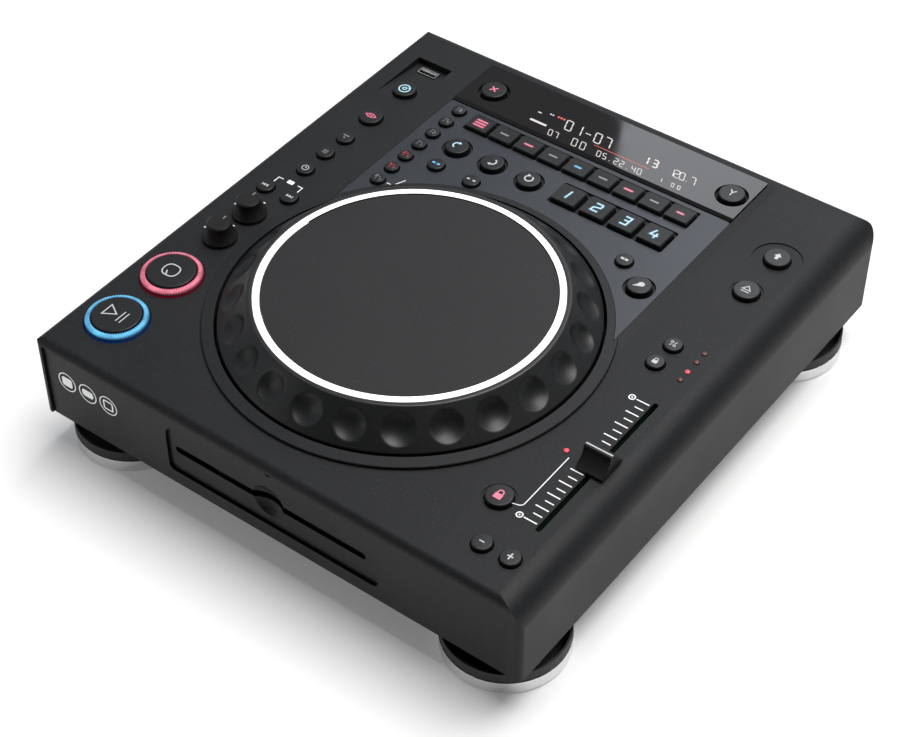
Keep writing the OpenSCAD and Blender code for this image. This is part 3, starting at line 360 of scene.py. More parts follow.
# ---------------------------------------------------------------- front panel
# The panel around the disc slot, moulded in black ABS with its recess, finger dish and release
# hole. It stands in the opening of the shell's front wall.
panel_black = plastic("panel_black", (0.004, 0.004, 0.0044), 0.38, depth=0.00001, specular=0.16)
dress("front_panel", panel_black)


# ---------------------------------------------------------------- feet
# Turned aluminium rings around black rubber cups, each with a column that a screw holds up
# against the base pan. Only the ring is bright.
def metal(name, colour, roughness, line_scale, stretch, depth):
    """Worked metal: noise drawn out along one direction sets its tone, its sheen and its fine lines."""
    line_dim, line_sheen = 0.82, 0.1
    mat = bpy.data.materials.new(name)
    mat.use_nodes = True
    tree = mat.node_tree
    bsdf = tree.nodes["Principled BSDF"]
    bsdf.inputs["Metallic"].default_value = 1.0
    place = tree.nodes.new("ShaderNodeTexCoord").outputs["Object"]
    draw = tree.nodes.new("ShaderNodeMapping")
    draw.inputs["Scale"].default_value = stretch
    tree.links.new(place, draw.inputs["Vector"])
    line = noise_at(tree, draw.outputs["Vector"], line_scale, 3.0)
    tone = mix_colour(tree, line, tuple(v * line_dim for v in colour), colour)
    tree.links.new(tone, bsdf.inputs["Base Color"])
    sheen = math_node(tree, "MULTIPLY", line, line_sheen)
    rough = math_node(tree, "ADD", roughness - line_sheen / 2, sheen)
    tree.links.new(rough, bsdf.inputs["Roughness"])
    bump = tree.nodes.new("ShaderNodeBump")
    bump.inputs["Distance"].default_value = depth
    tree.links.new(line, bump.inputs["Height"])
    tree.links.new(bump.outputs["Normal"], bsdf.inputs["Normal"])
    return mat


turned_ring = metal("turned_aluminium", (0.78, 0.78, 0.79), 0.24, 900.0, (1, 1, 6), 0.000004)
cup_rubber = plastic("cup_rubber", (0.012, 0.012, 0.012), 0.62, grain=1500.0, depth=0.00003)
feet = dress("feet", cup_rubber, turned_ring)
foot_x, foot_front_y, foot_back_y = 130.3, -145.6, 137.0
ring_inner_r, ring_low, ring_high = 33.9, 0.75, 8.45
foot_axes = np.array([[side * foot_x, y] for side in (-1, 1) for y in (foot_front_y, foot_back_y)])
mid = face_middles(feet)
from_axis = np.min(np.linalg.norm(mid[:, None, :2] - foot_axes[None], axis=2), axis=1)
is_ring = (from_axis > ring_inner_r) & (mid[:, 2] > ring_low) & (mid[:, 2] < ring_high)
feet.polygons.foreach_set("material_index", is_ring.astype(np.int32))


# ---------------------------------------------------------------- jog wheel
# A black moulded wheel with 24 dimples for the fingers around its slope. Its spindle turns in a
# bush under it, and its touch plate lies in a seat in its top.
jog_axis = (-6.3, -44.2)
dimple_count, dimple_phase = 24, math.radians(4.0)
dimple_r, dimple_depth = 9.0, 2.6
jog_r, jog_lip_r, jog_h, jog_low = 106.2, 88.4, 20.0, 2.8


def rounded(corners, radii, steps):
    """A profile of (r, z) corners with each inner corner replaced by an arc of its radius."""
    corners = [np.array(c, float) for c in corners]
    out = [corners[0]]
    for before, here, after, radius in zip(corners, corners[1:], corners[2:], radii):
        a, b = before - here, after - here
        a /= np.linalg.norm(a)
        b /= np.linalg.norm(b)
        half = math.acos(np.clip(a @ b, -1, 1)) / 2
        reach_back = radius / math.tan(half)
        middle = here + (a + b) / np.linalg.norm(a + b) * radius / math.sin(half)
        start, end = here + a * reach_back - middle, here + b * reach_back - middle
        turn = np.linspace(0, 1, steps)[:, None]
        sweep = math.pi - 2 * half
        bend = (np.sin((1 - turn) * sweep) * start + np.sin(turn * sweep) * end) / math.sin(sweep)
        out.extend(middle + bend)
    out.append(corners[-1])
    return np.array(out)


def lathe(profile, count):
    """Points of a profile turned about the axis in count steps, as an array (ring, profile, xyz)."""
    angle = np.arange(count) * 2 * math.pi / count
    r, z = profile[:, 0], profile[:, 1]
    x, y = np.cos(angle)[:, None] * r, np.sin(angle)[:, None] * r
    return np.stack([x, y, np.broadcast_to(z, (count, len(z)))], axis=-1)


def grid_faces(rings, columns):
    """Quads of a grid that closes on itself around the rings and is open along the columns."""
    i, j = np.meshgrid(np.arange(rings), np.arange(columns - 1), indexing="ij")
    here, beside = i * columns + j, (i + 1) % rings * columns + j
    return np.stack([here, beside, beside + 1, here + 1], axis=-1).reshape(-1, 4)


def mesh_piece(name, points, faces, material, body, smooth=True):
    """A mesh object from row-frame points and faces, with its material and body."""
    data = bpy.data.meshes.new(name)
    data.from_pydata(np.asarray(points).reshape(-1, 3).tolist(), [], [list(map(int, f)) for f in faces])
    data.materials.append(material)
    data.polygons.foreach_set("use_smooth", np.full(len(data.polygons), smooth))
    data.update()
    obj = bpy.data.objects.new(name, data)
    scene.collection.objects.link(obj)
    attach(obj, body)
    return obj


slope = np.array([jog_r - jog_lip_r, jog_low - jog_h])
slope_normal = np.array([-slope[1], slope[0]]) / np.linalg.norm(slope)
plate_r, plate_seat, skirt = 85.8, 16.0, -9.0
rim_corners = [(plate_r, plate_seat), (plate_r, jog_h), (jog_lip_r, jog_h), (jog_r, jog_low), (jog_r, skirt)]
rim_radii = [0.3, 1.6, 0.9]
rim = rounded(rim_corners, rim_radii, steps=6)
# the straight slope between the two rounded edges gets rows for the dimples
slope_rows, dimple_steps = 44, 36
slope_start = np.argmax(rim[:, 0] > (jog_lip_r + jog_r) / 2)
top_part, low_part = rim[:slope_start], rim[slope_start:]
steps = np.linspace(0, 1, slope_rows)[1:-1, None]
rim = np.vstack([top_part, top_part[-1] + (low_part[0] - top_part[-1]) * steps, low_part])
# the wheel's underside, from its skirt to its hub and spindle
inner = [(102.7, skirt), (102.7, -1.9), (88.7, 12.0), (16.0, 12.0), (16.0, -10.7), (5.0, -10.7),
         (5.0, -22.5), (0.01, -22.5)]
jog_profile = np.vstack([[(0.01, plate_seat)], rim, inner])
wheel = lathe(jog_profile, dimple_count * dimple_steps)

# Each dimple is a cap of a ball that stands over the slope. Its edge is rounded off by soft, and
# every point sinks square to the slope. Points past reach_r or off the slope stay.
soft, reach_r, ball_floor = 0.34, dimple_r + 3.0, 0.2
slope_low_z, slope_in_r = jog_low - 0.8, jog_lip_r - 1.5
pitch = 2 * math.pi / dimple_count
ball = (dimple_r ** 2 + dimple_depth ** 2) / (2 * dimple_depth)
turn = np.arctan2(wheel[..., 1], wheel[..., 0])
near = (turn - dimple_phase + pitch / 2) % pitch - pitch / 2
radius = np.hypot(wheel[..., 0], wheel[..., 1])
slope_mid = np.array([(jog_lip_r + jog_r) / 2, (jog_h + jog_low) / 2])
along = (radius * np.cos(near) - slope_mid[0]) * slope[0] + (wheel[..., 2] - slope_mid[1]) * slope[1]
along /= np.linalg.norm(slope)
away = np.hypot(along, radius * np.sin(near))
ball_z = np.sqrt(np.maximum(ball ** 2 - away ** 2, (ball * ball_floor) ** 2))
cap_depth = ball_z - (ball - dimple_depth)
sink = 0.5 * (cap_depth + np.sqrt(cap_depth ** 2 + soft ** 2))
sink -= soft ** 2 / 4 / np.maximum(-cap_depth, soft)
on_slope = (wheel[..., 2] > slope_low_z) & (radius > slope_in_r)
sink = np.where(on_slope & (away < reach_r), np.maximum(sink, 0), 0)
wheel[..., 0] -= sink * slope_normal[0] * np.cos(turn)
wheel[..., 1] -= sink * slope_normal[0] * np.sin(turn)
wheel[..., 2] -= sink * slope_normal[1]
wheel_pts = on_deck(wheel[..., 0] + jog_axis[0], wheel[..., 1] + jog_axis[1], wheel[..., 2])
wheel_faces = grid_faces(*wheel.shape[:2])[:, ::-1]
jog_black = plastic("jog_black", (0.006, 0.0065, 0.007), 0.4, grain=1800.0, depth=0.00001, specular=0.4)
jog_wheel = mesh_piece("jog_wheel_moulding", wheel_pts, wheel_faces, jog_black, "jog")
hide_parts("jog_wheel")


# ---------------------------------------------------------------- touch plate
# A disc of spun aluminium under matt black paint, in a ring of milky acrylic that is lit from under.
# It lies in the seat in the jog wheel's top and turns with the wheel.
spun_black = (0.0165, 0.0165, 0.0178)
touch_black = plastic("touch_black", spun_black, 0.5, grain=3500.0, depth=0.000008, specular=0.2)


def glowing_surface(name, colour, strength, base=(0.02, 0.02, 0.02), spot=0.12, scale=700.0):
    """A glowing surface, used for lamps behind diffusers and for the painted glow given to prints and unlit
    lamps. Its emission colour changes a little from place to place, as a diffuser's does.
    """
    mat = bpy.data.materials.new(name)
    mat.use_nodes = True
    tree = mat.node_tree
    bsdf = tree.nodes["Principled BSDF"]
    bsdf.inputs["Base Color"].default_value = (*base, 1)
    bsdf.inputs["Roughness"].default_value = 0.35
    place = tree.nodes.new("ShaderNodeTexCoord").outputs["Object"]
    patch = noise_at(tree, place, scale, 2.0)
    shade = mix_colour(tree, patch, tuple(v * (1 - spot) for v in colour), colour)
    tree.links.new(shade, bsdf.inputs["Emission Color"])
    bsdf.inputs["Emission Strength"].default_value = strength
    return mat


ring_white = glowing_surface("light_ring_white", (1.0, 0.99, 0.97), 1.15, base=(0.5, 0.5, 0.5), spot=0.05, scale=60.0)
plate = dress("jog_plate", touch_black, ring_white)
mid = face_middles(plate)
light_inner_r = 81.75
axis_y = jog_axis[1] + shell_mid_y
is_light = np.hypot(mid[:, 0] - jog_axis[0], mid[:, 1] - axis_y) > light_inner_r
plate.polygons.foreach_set("material_index", is_light.astype(np.int32))


# ---------------------------------------------------------------- keys
# Black caps, the round ones moulded and the square ones of firm rubber, each on its own stem and
# switch. Their signs are printed, or let the light of a lamp under the cap through.
key_black = plastic("key_black", (0.0098, 0.0102, 0.011), 0.36, grain=2600.0, depth=0.000006, specular=0.3)
pad_rubber = plastic("pad_rubber", (0.0085, 0.009, 0.0098), 0.42, grain=2200.0, depth=0.00001, specular=0.25)
sign_white = glowing_surface("sign_white", (0.86, 0.88, 0.9), 0.75)
# grey print on the unlit keys and the knobs' lines: its emission is a painted glow, with no lamp under it
sign_grey_painted_glow = glowing_surface("sign_grey_painted_glow", (0.55, 0.57, 0.6), 0.5)
sign_pink = glowing_surface("sign_pink", (1.0, 0.22, 0.36), 1.0)
sign_red = glowing_surface("sign_red", (1.0, 0.06, 0.1), 1.0)
sign_blue = glowing_surface("sign_blue", (0.12, 0.55, 1.0), 1.1)
sign_ice = glowing_surface("sign_ice", (0.5, 0.85, 1.0), 1.1)
glow_blue = glowing_surface("glow_blue", (0.01, 0.06, 0.2), 0.5)
glow_red = glowing_surface("glow_red", (0.2, 0.008, 0.03), 0.5)


def arc(cx, cy, r, start, end, count=14):
    """Points of an arc: the centre plus the radius along angles from start to end, in degrees from +X."""
    a = np.radians(np.linspace(start, end, count))
    return np.stack([cx + r * np.cos(a), cy + r * np.sin(a)], axis=1)


def ribbon(points, width):
    """Both edges of a band along a path: each point moves half a width along its mitred normal."""
    sharpest = 0.35
    points = np.asarray(points, float)
    step = np.diff(points, axis=0)
    step /= np.linalg.norm(step, axis=1)[:, None]
    side = np.stack([-step[:, 1], step[:, 0]], axis=1)
    first, last = np.vstack([side[:1], side]), np.vstack([side, side[-1:]])
    mitre = first + last
    mitre /= np.maximum(np.sum(mitre * first, axis=1), sharpest)[:, None]
    return np.vstack([points + mitre * width / 2, (points - mitre * width / 2)[::-1]])


sign_film, thin_film = 0.06, 0.03


def outline_faces(shapes):
    """All the outlines' points in one array, each outline counter-clockwise, and one face for each."""
    points, faces, base = [], [], 0
    for outline in shapes:
        outline = np.asarray(outline, float)
        after = np.roll(outline, -1, axis=0)
        area = np.sum(outline[:, 0] * after[:, 1] - after[:, 0] * outline[:, 1])
        points.append(outline if area > 0 else outline[::-1])
        faces.append(list(range(base, base + len(outline))))
        base += len(outline)
    return np.vstack(points), faces


def film_piece(name, points, faces, material, body, thickness):
    """A print or a lit sign: flat faces, and a film of that many millimetres over them."""
    obj = mesh_piece(name, points, faces, material, body, False)
    film = obj.modifiers.new("Film", "SOLIDIFY")
    film.thickness = thickness * MM
    film.offset = 1.0
    return obj


def sign(name, shapes, material, body, place, height, thickness=sign_film):
    """Flat outlines laid on a surface whose height over the deck is height(x, y)."""
    flat, faces = outline_faces(shapes)
    z = height(flat[:, 0], flat[:, 1])
    points = on_deck(flat[:, 0] + place[0], flat[:, 1] + place[1], z)
    return film_piece(name, points, faces, material, body, thickness)


def ring_band(cx, cy, r, width):
    """A full ring as two half bands."""
    return [ribbon(arc(cx, cy, r, 0, 180, 20), width), ribbon(arc(cx, cy, r, 180, 360, 20), width)]


def bar(cx, cy, w, h):
    """A rectangle about its middle."""
    return np.array([(-w, -h), (w, -h), (w, h), (-w, h)]) / 2 + (cx, cy)


def pill(cx, cy, w, h, r, count=5):
    """A rectangle with round corners."""
    corners = [(1, 1, 0), (-1, 1, 90), (-1, -1, 180), (1, -1, 270)]
    dx, dy = w / 2 - r, h / 2 - r
    return np.vstack([arc(cx + sx * dx, cy + sy * dy, r, a, a + 90, count) for sx, sy, a in corners])


def loop_of(points, width):
    """A closed outline as a band that starts and ends in the middle of its first side."""
    points = np.asarray(points, float)
    middle = (points[:1] + points[-1:]) / 2
    return ribbon(np.vstack([middle, points, middle]), width)


# strokes of the seven-bar numerals, as pairs of points on a grid one unit wide and two high
bar_ends = {"a": ((0, 2), (1, 2)), "b": ((1, 2), (1, 1)), "c": ((1, 1), (1, 0)), "d": ((0, 0), (1, 0)),
            "e": ((0, 1), (0, 0)), "f": ((0, 2), (0, 1)), "g": ((0, 1), (1, 1))}
numeral_bars = {"0": "abcdef", "1": "bc", "2": "abged", "3": "abgcd", "4": "fgbc", "5": "afgcd",
                "6": "afgedc", "7": "abc", "8": "abcdefg", "9": "abfgcd", "-": "g", " ": ""}


def numerals(text, x, y, h, pitch, width, slant=0.16):
    """Seven-bar numerals: one short band for each lit bar, its x moved by the slant times its height."""
    bar_gap, bar_wide = 0.07, 0.5
    dot_x, dot_y = 0.2, 0.1
    shapes = []
    for place, mark in enumerate(text):
        left = x + place * pitch
        if mark == ".":
            shapes.append(bar(left + h * (dot_x + slant * dot_y), y + h * dot_y, width, width))
            continue
        for name in numeral_bars[mark]:
            ends = np.array(bar_ends[name], float)
            gap = (ends[1] - ends[0]) * bar_gap
            ends = np.array([ends[0] + gap, ends[1] - gap])
            px = ends[:, 0] * h * bar_wide + ends[:, 1] * h / 2 * slant
            shapes.append(ribbon(np.stack([left + px, y + ends[:, 1] * h / 2], axis=1), width))
    return shapes


def turned(shapes, degrees):
    """The same outlines turned about the key's middle."""
    a = math.radians(degrees)
    spin = np.array([[math.cos(a), math.sin(a)], [-math.sin(a), math.cos(a)]])
    return [np.asarray(s) @ spin for s in shapes]


def flipped(shapes):
    """The same outlines mirrored from left to right."""
    return [np.asarray(s) * (-1, 1) for s in shapes]


def padlock(size):
    """A closed padlock: its body, and the shackle over it."""
    body = pill(0, -0.35 * size, 1.3 * size, size, 0.15 * size)
    bow = 0.42 * size
    shackle = np.vstack([[(bow, 0.1 * size)], arc(0, bow, bow, 0, 180), [(-bow, 0.1 * size)]])
    return [body, ribbon(shackle, 0.2 * size)]


# the keys' signs, in millimetres about each cap's middle
curved_arrow = [ribbon(arc(0, 0, 2.5, 100, 250), 0.9), np.array([(-0.2, 3.7), (-0.2, 1.3), (1.9, 2.5)])]
back_points = [np.array([(-2.0, 0), (-0.1, -1.1), (-0.1, 1.1)]), np.array([(0, 0), (1.9, -1.1), (1.9, 1.1)])]
skip_back = [bar(-2.3, 0, 0.4, 2.2)] + back_points
triangle = np.array([(-2.6, -3.2), (2.8, 0), (-2.6, 3.2)])
play_sign = [loop_of(triangle * 1.35 - (3.6, 0), 0.7), bar(3.2, 0, 0.65, 8.6), bar(5.8, 0, 0.65, 8.6)]
cue_sign = [loop_of(pill(0, 0, 10.0, 9.2, 3.8), 0.75), ribbon([(-2.0, -1.2), (-0.2, -4.2)], 0.75)]
reverse_sign = [loop_of(triangle * 0.55 + (2.2, 0), 0.6)]
mode_sign = ring_band(0, 0, 3.5, 0.8) + ring_band(0, 0, 1.2, 0.7) + [ribbon([(1.3, 1.3), (3.2, 2.2)], 0.6)]
bank_sign = [bar(0, 1.2, 4.2, 0.8), bar(0, -1.0, 1.0, 1.0)]
clock_sign = ring_band(0, 0, 2.1, 0.45) + [ribbon([(0, 1.4), (0, 0), (1.0, 0)], 0.4)]
grid_sign = [bar(i * 1.2, j * 1.2, 0.7, 0.7) for i in (-1, 0, 1) for j in (-1, 0, 1)]
tap_sign = [np.vstack([arc(0.9, 0.7, 1.9, -40, 190), [(-3.1, -2.8)]])]
eject_sign = [loop_of([(-2.4, -0.7), (2.4, -0.7), (0, 2.6)], 0.6), bar(0, -2.4, 5.2, 0.6)]
up_arrow = [(-2.3, 0.2), (-1.0, 0.2), (-1.0, -2.4), (1.0, -2.4), (1.0, 0.2), (2.3, 0.2), (0, 2.9)]
minus_sign = [bar(0, 0, 3.0, 0.7)]
plus_sign = [bar(0, 0, 3.4, 0.8), bar(0, 1.3, 0.8, 1.8), bar(0, -1.3, 0.8, 1.8)]
percent_sign = ring_band(-1.2, 1.1, 0.7, 0.4) + ring_band(1.2, -1.1, 0.7, 0.4)
percent_sign += [ribbon([(-1.6, -1.8), (1.6, 1.8)], 0.4)]
repeat_sign = [ribbon(arc(0, 0, 2.5, 120, 420, 24), 0.9), np.array([(-2.4, 3.6), (-2.0, 0.9), (0.3, 2.5)])]
cross_sign = [ribbon([(-2.0, -2.0), (2.0, 2.0)], 1.0), ribbon([(-2.0, 2.0), (2.0, -2.0)], 1.0)]
fork_sign = [ribbon([(-1.9, 2.6), (0, 0.2), (0, -2.6)], 0.7), ribbon([(1.9, 2.6), (0, 0.2)], 0.7)]
pad_strokes = [
    [[(0.3, 2.9), (-0.4, -2.9)]],
    [[(-1.8, 2.7), (1.6, 2.7), (1.9, 2.2), (1.7, 0.4), (-1.6, -0.4), (-2.1, -2.7), (1.7, -2.7)]],
    [[(-1.5, 2.7), (1.9, 2.7), (1.7, 0.2), (-0.9, 0.2)], [(1.7, 0.2), (1.4, -2.7), (-2.0, -2.7)]],
    [[(-0.4, 2.9), (-2.0, -0.9), (2.1, -0.9)], [(1.1, 0.9), (0.5, -2.9)]],
]
beat_parts = ["18", "14", "12", "11", "21", "41", "81"]

# Each key: its place on the deck, its cap's radius (0 where it is square) and top, and its signs with
# their emitters: lamps, and the painted glow of the grey prints.
play_place, cue_place = (-135.2, -141.2), (-135.2, -96.5)
keys = {
    "play": (*play_place, 14.1, 4.2, [(play_sign, sign_white)]),
    "cue": (*cue_place, 14.1, 4.2, [(cue_sign, sign_white)]),
    "reverse": (-133.6, 81.9, 7.2, 2.4, [(reverse_sign + flipped(reverse_sign), sign_pink)]),
    "mode": (-133.6, 115.5, 7.2, 2.4, [(mode_sign, sign_ice)]),
    "bank": (-133.5, 56.8, 5.3, 2.2, [(bank_sign, sign_grey_painted_glow)]),
    "fx": (-134.2, 38.7, 5.3, 2.2, [(grid_sign, sign_grey_painted_glow)]),
    "time": (-134.1, 19.9, 5.3, 2.2, [(clock_sign, sign_white)]),
    "prev": (-142.9, -6.1, 5.3, 2.2, [(skip_back, sign_white)]),
    "next": (-125.0, -6.1, 5.3, 2.2, [(flipped(skip_back), sign_white)]),
    "pitch_lock": (111.5, -123.8, 7.6, 2.4, [(padlock(3.6), sign_pink)]),
    "bend_minus": (122.7, -154.0, 5.6, 2.4, [(minus_sign, sign_white)]),
    "bend_plus": (139.8, -153.7, 5.6, 2.4, [(plus_sign, sign_white)]),
    "range": (123.1, 20.5, 5.3, 2.2, [(percent_sign, sign_white)]),
    "lock": (122.4, 3.8, 5.3, 2.2, [(padlock(2.4), sign_white)]),
    "shift": (132.5, 114.7, 7.7, 2.4, [([np.array(up_arrow)], sign_white)]),
    "eject": (132.5, 81.3, 7.7, 2.4, [(eject_sign, sign_white)]),
    "loop_in": (-72.2, 87.5, 7.2, 4.2, [(curved_arrow, sign_ice)]),
    "loop_out": (-46.2, 87.4, 7.2, 4.2, [(turned(curved_arrow, 180), sign_white)]),
    "reloop": (-19.6, 87.3, 7.2, 4.2, [(repeat_sign, sign_white)]),
    "memo": (-72.4, 66.9, 5.2, 4.0, [([pill(0, 0, 5.4, 1.3, 0.5)], sign_blue)]),
    "sampler": (-46.5, 66.7, 5.2, 4.0, [([pill(0, 0, 6.0, 1.1, 0.4)], sign_white)]),
    "sync": (64.8, 60.9, 5.2, 4.0, [([pill(0, 0, 4.8, 1.6, 0.5)], sign_white)]),
    "tap": (83.4, 47.7, 7.2, 4.2, [(tap_sign, sign_white)]),
    "x": (-86.3, 144.5, 7.9, 5.0, [(cross_sign, sign_pink)]),
    "y": (83.9, 145.0, 7.9, 5.0, [(fork_sign, sign_white)]),
}

# seven small keys in a column, each with a fraction
beat_x, beat_y, beat_pitch = -92.4, 116.8, 13.4
for i, parts in enumerate(beat_parts):
    fraction = numerals(parts[0], -2.0, 0.0, 2.0, 1, 0.35) + numerals(parts[1], 0.9, -1.7, 2.0, 1, 0.35)
    fraction.append(ribbon([(-1.3, -1.9), (1.1, 1.6)], 0.3))
    emitter = sign_red if i in (4, 5) else sign_grey_painted_glow
    keys[f"beat_{i + 1}"] = (beat_x, beat_y - beat_pitch * i, 4.4, 4.0, [(fraction, emitter)])

# Nine square keys in a row, each with a bar, and the first with three. A lit bar has a halo; an unlit one is
# grey print with a painted glow.
fx_x, fx_y, fx_pitch = -73.4, 112.8, 17.8
fx_lamps = {0: sign_pink, 2: sign_pink, 4: sign_blue, 6: sign_pink, 8: sign_pink}
for i in range(9):
    emitter = fx_lamps.get(i, sign_grey_painted_glow)
    rows = [(0.0, 6.0 if i % 4 else 4.6)]
    if i == 0:
        rows = [(v, 7.6) for v in (-2.4, 0.0, 2.4)]
    signs = [([pill(0, v, w, 1.2, 0.4) for v, w in rows], emitter)]
    if emitter is not sign_grey_painted_glow:
        glow = glow_blue if emitter is sign_blue else glow_red
        signs.append(([pill(0, v, w + 1.6, 2.3, 1.1) for v, w in rows], glow))
    keys[f"fx_{i + 1}"] = (fx_x + fx_pitch * i, fx_y, 0, 4.2, signs)

# four larger square keys with lit numerals and their halos
pad_x, pad_y, pad_pitch = 7.9, 88.6, 19.8
pad_sign_scale, pad_line, pad_halo = 1.25, 0.95, 2.3
for i, strokes in enumerate(pad_strokes):
    strokes = [np.array(s) * pad_sign_scale for s in strokes]
    halo = ([ribbon(s, pad_halo) for s in strokes], glow_blue)
    signs = [([ribbon(s, pad_line) for s in strokes], sign_ice), halo]
    keys[f"pad_{i + 1}"] = (pad_x + pad_pitch * i, pad_y, 0, 4.4, signs)


def cap_face(cap_r, top):
    """The height of a cap's face: a round cap rises as a flat cone to its middle, a square one is flat."""
    cone_h, edge = 0.15, 0.8
    return lambda u, v: top + (cone_h * (1 - np.hypot(u, v) / (cap_r - edge)) if cap_r else 0.0 * u)


for name, (x, y, cap_r, top, signs) in keys.items():
    dress(name, pad_rubber if cap_r == 0 else key_black)
    for index, (shapes, emitter) in enumerate(signs):
        film = thin_film if index else sign_film
        face = cap_face(cap_r, top)
        sign(f"{name}_sign_{index}", shapes, emitter, "key_" + name, (x, y), face, film)


# ---------------------------------------------------------------- play and cue crowns
# A clear ring around each of the two large caps, moulded with a fine crown of teeth and lit from
# under. It is part of the key and travels with it.
crown_teeth = 72


def crown(name, place, body, emitter):
    """A ring whose outer slope carries teeth: its height rises and falls once for each tooth."""
    per_tooth = 6
    section = np.array([(14.5, 1.0), (14.5, 3.1), (15.0, 3.35), (16.2, 3.3), (17.2, 2.6), (18.1, 1.5),
                        (18.25, 0.6), (18.25, -1.0)])
    tooth_height = np.array([0, 0.1, 0.3, 0.34, 0.34, 0.24, 0, 0])
    ring = lathe(section, crown_teeth * per_tooth)
    wave = np.cos(np.arange(crown_teeth * per_tooth) * 2 * math.pi / per_tooth)[:, None]
    ring[..., 2] += wave * tooth_height[None]
    points = on_deck(ring[..., 0] + place[0], ring[..., 1] + place[1], ring[..., 2])
    return mesh_piece(name, points, grid_faces(*ring.shape[:2])[:, ::-1], emitter, body)


def crown_lamp(name, deep, bright, place):
    """A lit clear ring, deep in colour at its inner and outer edges and bright in a band between them.

    The band's level is a half, plus a cosine of the angle with one wave a tooth, plus soft patches.
    """
    inner_edge, bright_from, bright_to, outer_edge = 14.7, 15.4, 16.9, 18.1
    tooth_share, patch_share = 0.16, 0.45
    mat = bpy.data.materials.new(name)
    mat.use_nodes = True
    tree = mat.node_tree
    bsdf = tree.nodes["Principled BSDF"]
    bsdf.inputs["Base Color"].default_value = (*[v * 0.2 for v in deep], 1)
    bsdf.inputs["Roughness"].default_value = 0.18
    at = tree.nodes.new("ShaderNodeTexCoord").outputs["Object"]
    local = vector_node(tree, "SUBTRACT", at, on_deck(*place, 0).tolist())
    split = tree.nodes.new("ShaderNodeSeparateXYZ")
    tree.links.new(local, split.inputs[0])
    turn = math_node(tree, "ARCTAN2", split.outputs["Y"], split.outputs["X"])
    tooth = math_node(tree, "COSINE", math_node(tree, "MULTIPLY", turn, float(crown_teeth)), 0.0)
    patch = noise_at(tree, local, 200.0, 2.0)
    far = vector_node(tree, "LENGTH", vector_node(tree, "MULTIPLY", local, (1.0, 1.0, 0.0)))
    rise = range_node(tree, far, (inner_edge * MM, bright_from * MM), (0.0, 1.0), smooth=True)
    fall = range_node(tree, far, (bright_to * MM, outer_edge * MM), (1.0, 0.0), smooth=True)
    band = math_node(tree, "MULTIPLY", rise, fall)
    teeth_part = math_node(tree, "MULTIPLY", tooth, tooth_share)
    patch_part = math_node(tree, "MULTIPLY", patch, patch_share)
    spread = math_node(tree, "ADD", teeth_part, patch_part)
    level = math_node(tree, "MULTIPLY", band, math_node(tree, "ADD", 0.5, spread))
    tree.links.new(mix_colour(tree, level, deep, bright), bsdf.inputs["Emission Color"])
    bsdf.inputs["Emission Strength"].default_value = 1.0
    return mat


play_lamp = crown_lamp("crown_blue", (0.0, 0.018, 0.1), (0.16, 0.66, 1.0), play_place)
cue_lamp = crown_lamp("crown_red", (0.085, 0.002, 0.009), (1.0, 0.26, 0.38), cue_place)
crown("play_crown", play_place, "key_play", play_lamp)
crown("cue_crown", cue_place, "key_cue", cue_lamp)


# ---------------------------------------------------------------- knobs and fader cap
# Moulded knobs that flare to the deck, and the saddle-shaped cap of the pitch fader, all satin
# black and pushed onto their stems. A printed line, given a painted glow, shows where each of them stands.
knob_black = plastic("knob_black", (0.007, 0.007, 0.0074), 0.45, grain=1600.0, depth=0.000014, specular=0.25)
for name in ("knob_front", "knob_rear", "pitch_fader"):
    dress(name, knob_black)
fader_place, fader_top = (139.7, -76.1), 12.4
knob_x, knob_top = -134.6, 12.0


def level_at(z):
    """The height function of a flat face: the same z everywhere."""
    return lambda u, v: z + 0.0 * u


fader_mark = [bar(0, 0, 16.4, 0.8)]
# sign_white's emission gives this printed line a painted glow
sign("fader_line", fader_mark, sign_white, "pitch", fader_place, level_at(fader_top))
for name, body, y in (("knob_front", "level_knob", -56.1), ("knob_rear", "filter_knob", -30.2)):
    mark = [bar(0, 5.2, 0.7, 2.6)]
    sign(name + "_line", mark, sign_grey_painted_glow, body, (knob_x, y), level_at(knob_top))


# ---------------------------------------------------------------- printed scales and lamps
# White print on the deck, given a painted glow: the fader's scale and its line, marks beside the knobs, and
# the brackets.
# The pilot lights are small domes of red plastic that stand in the deck; the unlit ones carry a faint
# painted glow.
def tick_rows(x0, x1, y0, count, pitch, width):
    """Equal marks in a column: one bar for each."""
    return [bar((x0 + x1) / 2, y0 + i * pitch, x1 - x0, width) for i in range(count)]


scale_pitch, scale_x, scale_low, scale_high = 10.25, 126.3, -127.0, -24.6
knob_marks = ((-148.3, -54.0), (-135.5, -43.3), (-147.6, -28.0), (-134.5, -17.3))
lock_line = np.vstack([[(119.0, -122.9)], arc(121.4, -119.4, 2.8, -70, 0, 8), [(124.2, -80.4)]])
skip_y, skip_top = 1.2, 6.0
deck_print = (
    tick_rows(129.0, 137.0, -127.1, 11, scale_pitch, 0.75)
    + tick_rows(131.2, 136.6, -122.0, 10, scale_pitch, 0.7)
    + ring_band(scale_x, scale_low, 1.7, 0.7)
    + ring_band(scale_x, scale_high, 1.7, 0.7)
    + [bar(scale_x, scale_high, 1.0, 1.0), bar(scale_x, scale_low, 0.9, 0.9)]
    + [ribbon(lock_line, 0.55)]
    + [bar(x, y, 1.3, 0.7) for x, y in knob_marks]
    + [ribbon([(-142.9, skip_y), (-142.9, skip_top), (-139.4, skip_top)], 0.6)]
    + [ribbon([(-125.0, skip_y), (-125.0, skip_top), (-128.5, skip_top)], 0.6)]
    + [pill(-134.0, 6.1, 4.4, 3.0, 0.5)]
)
print_film, plate_top = 0.05, 1.8
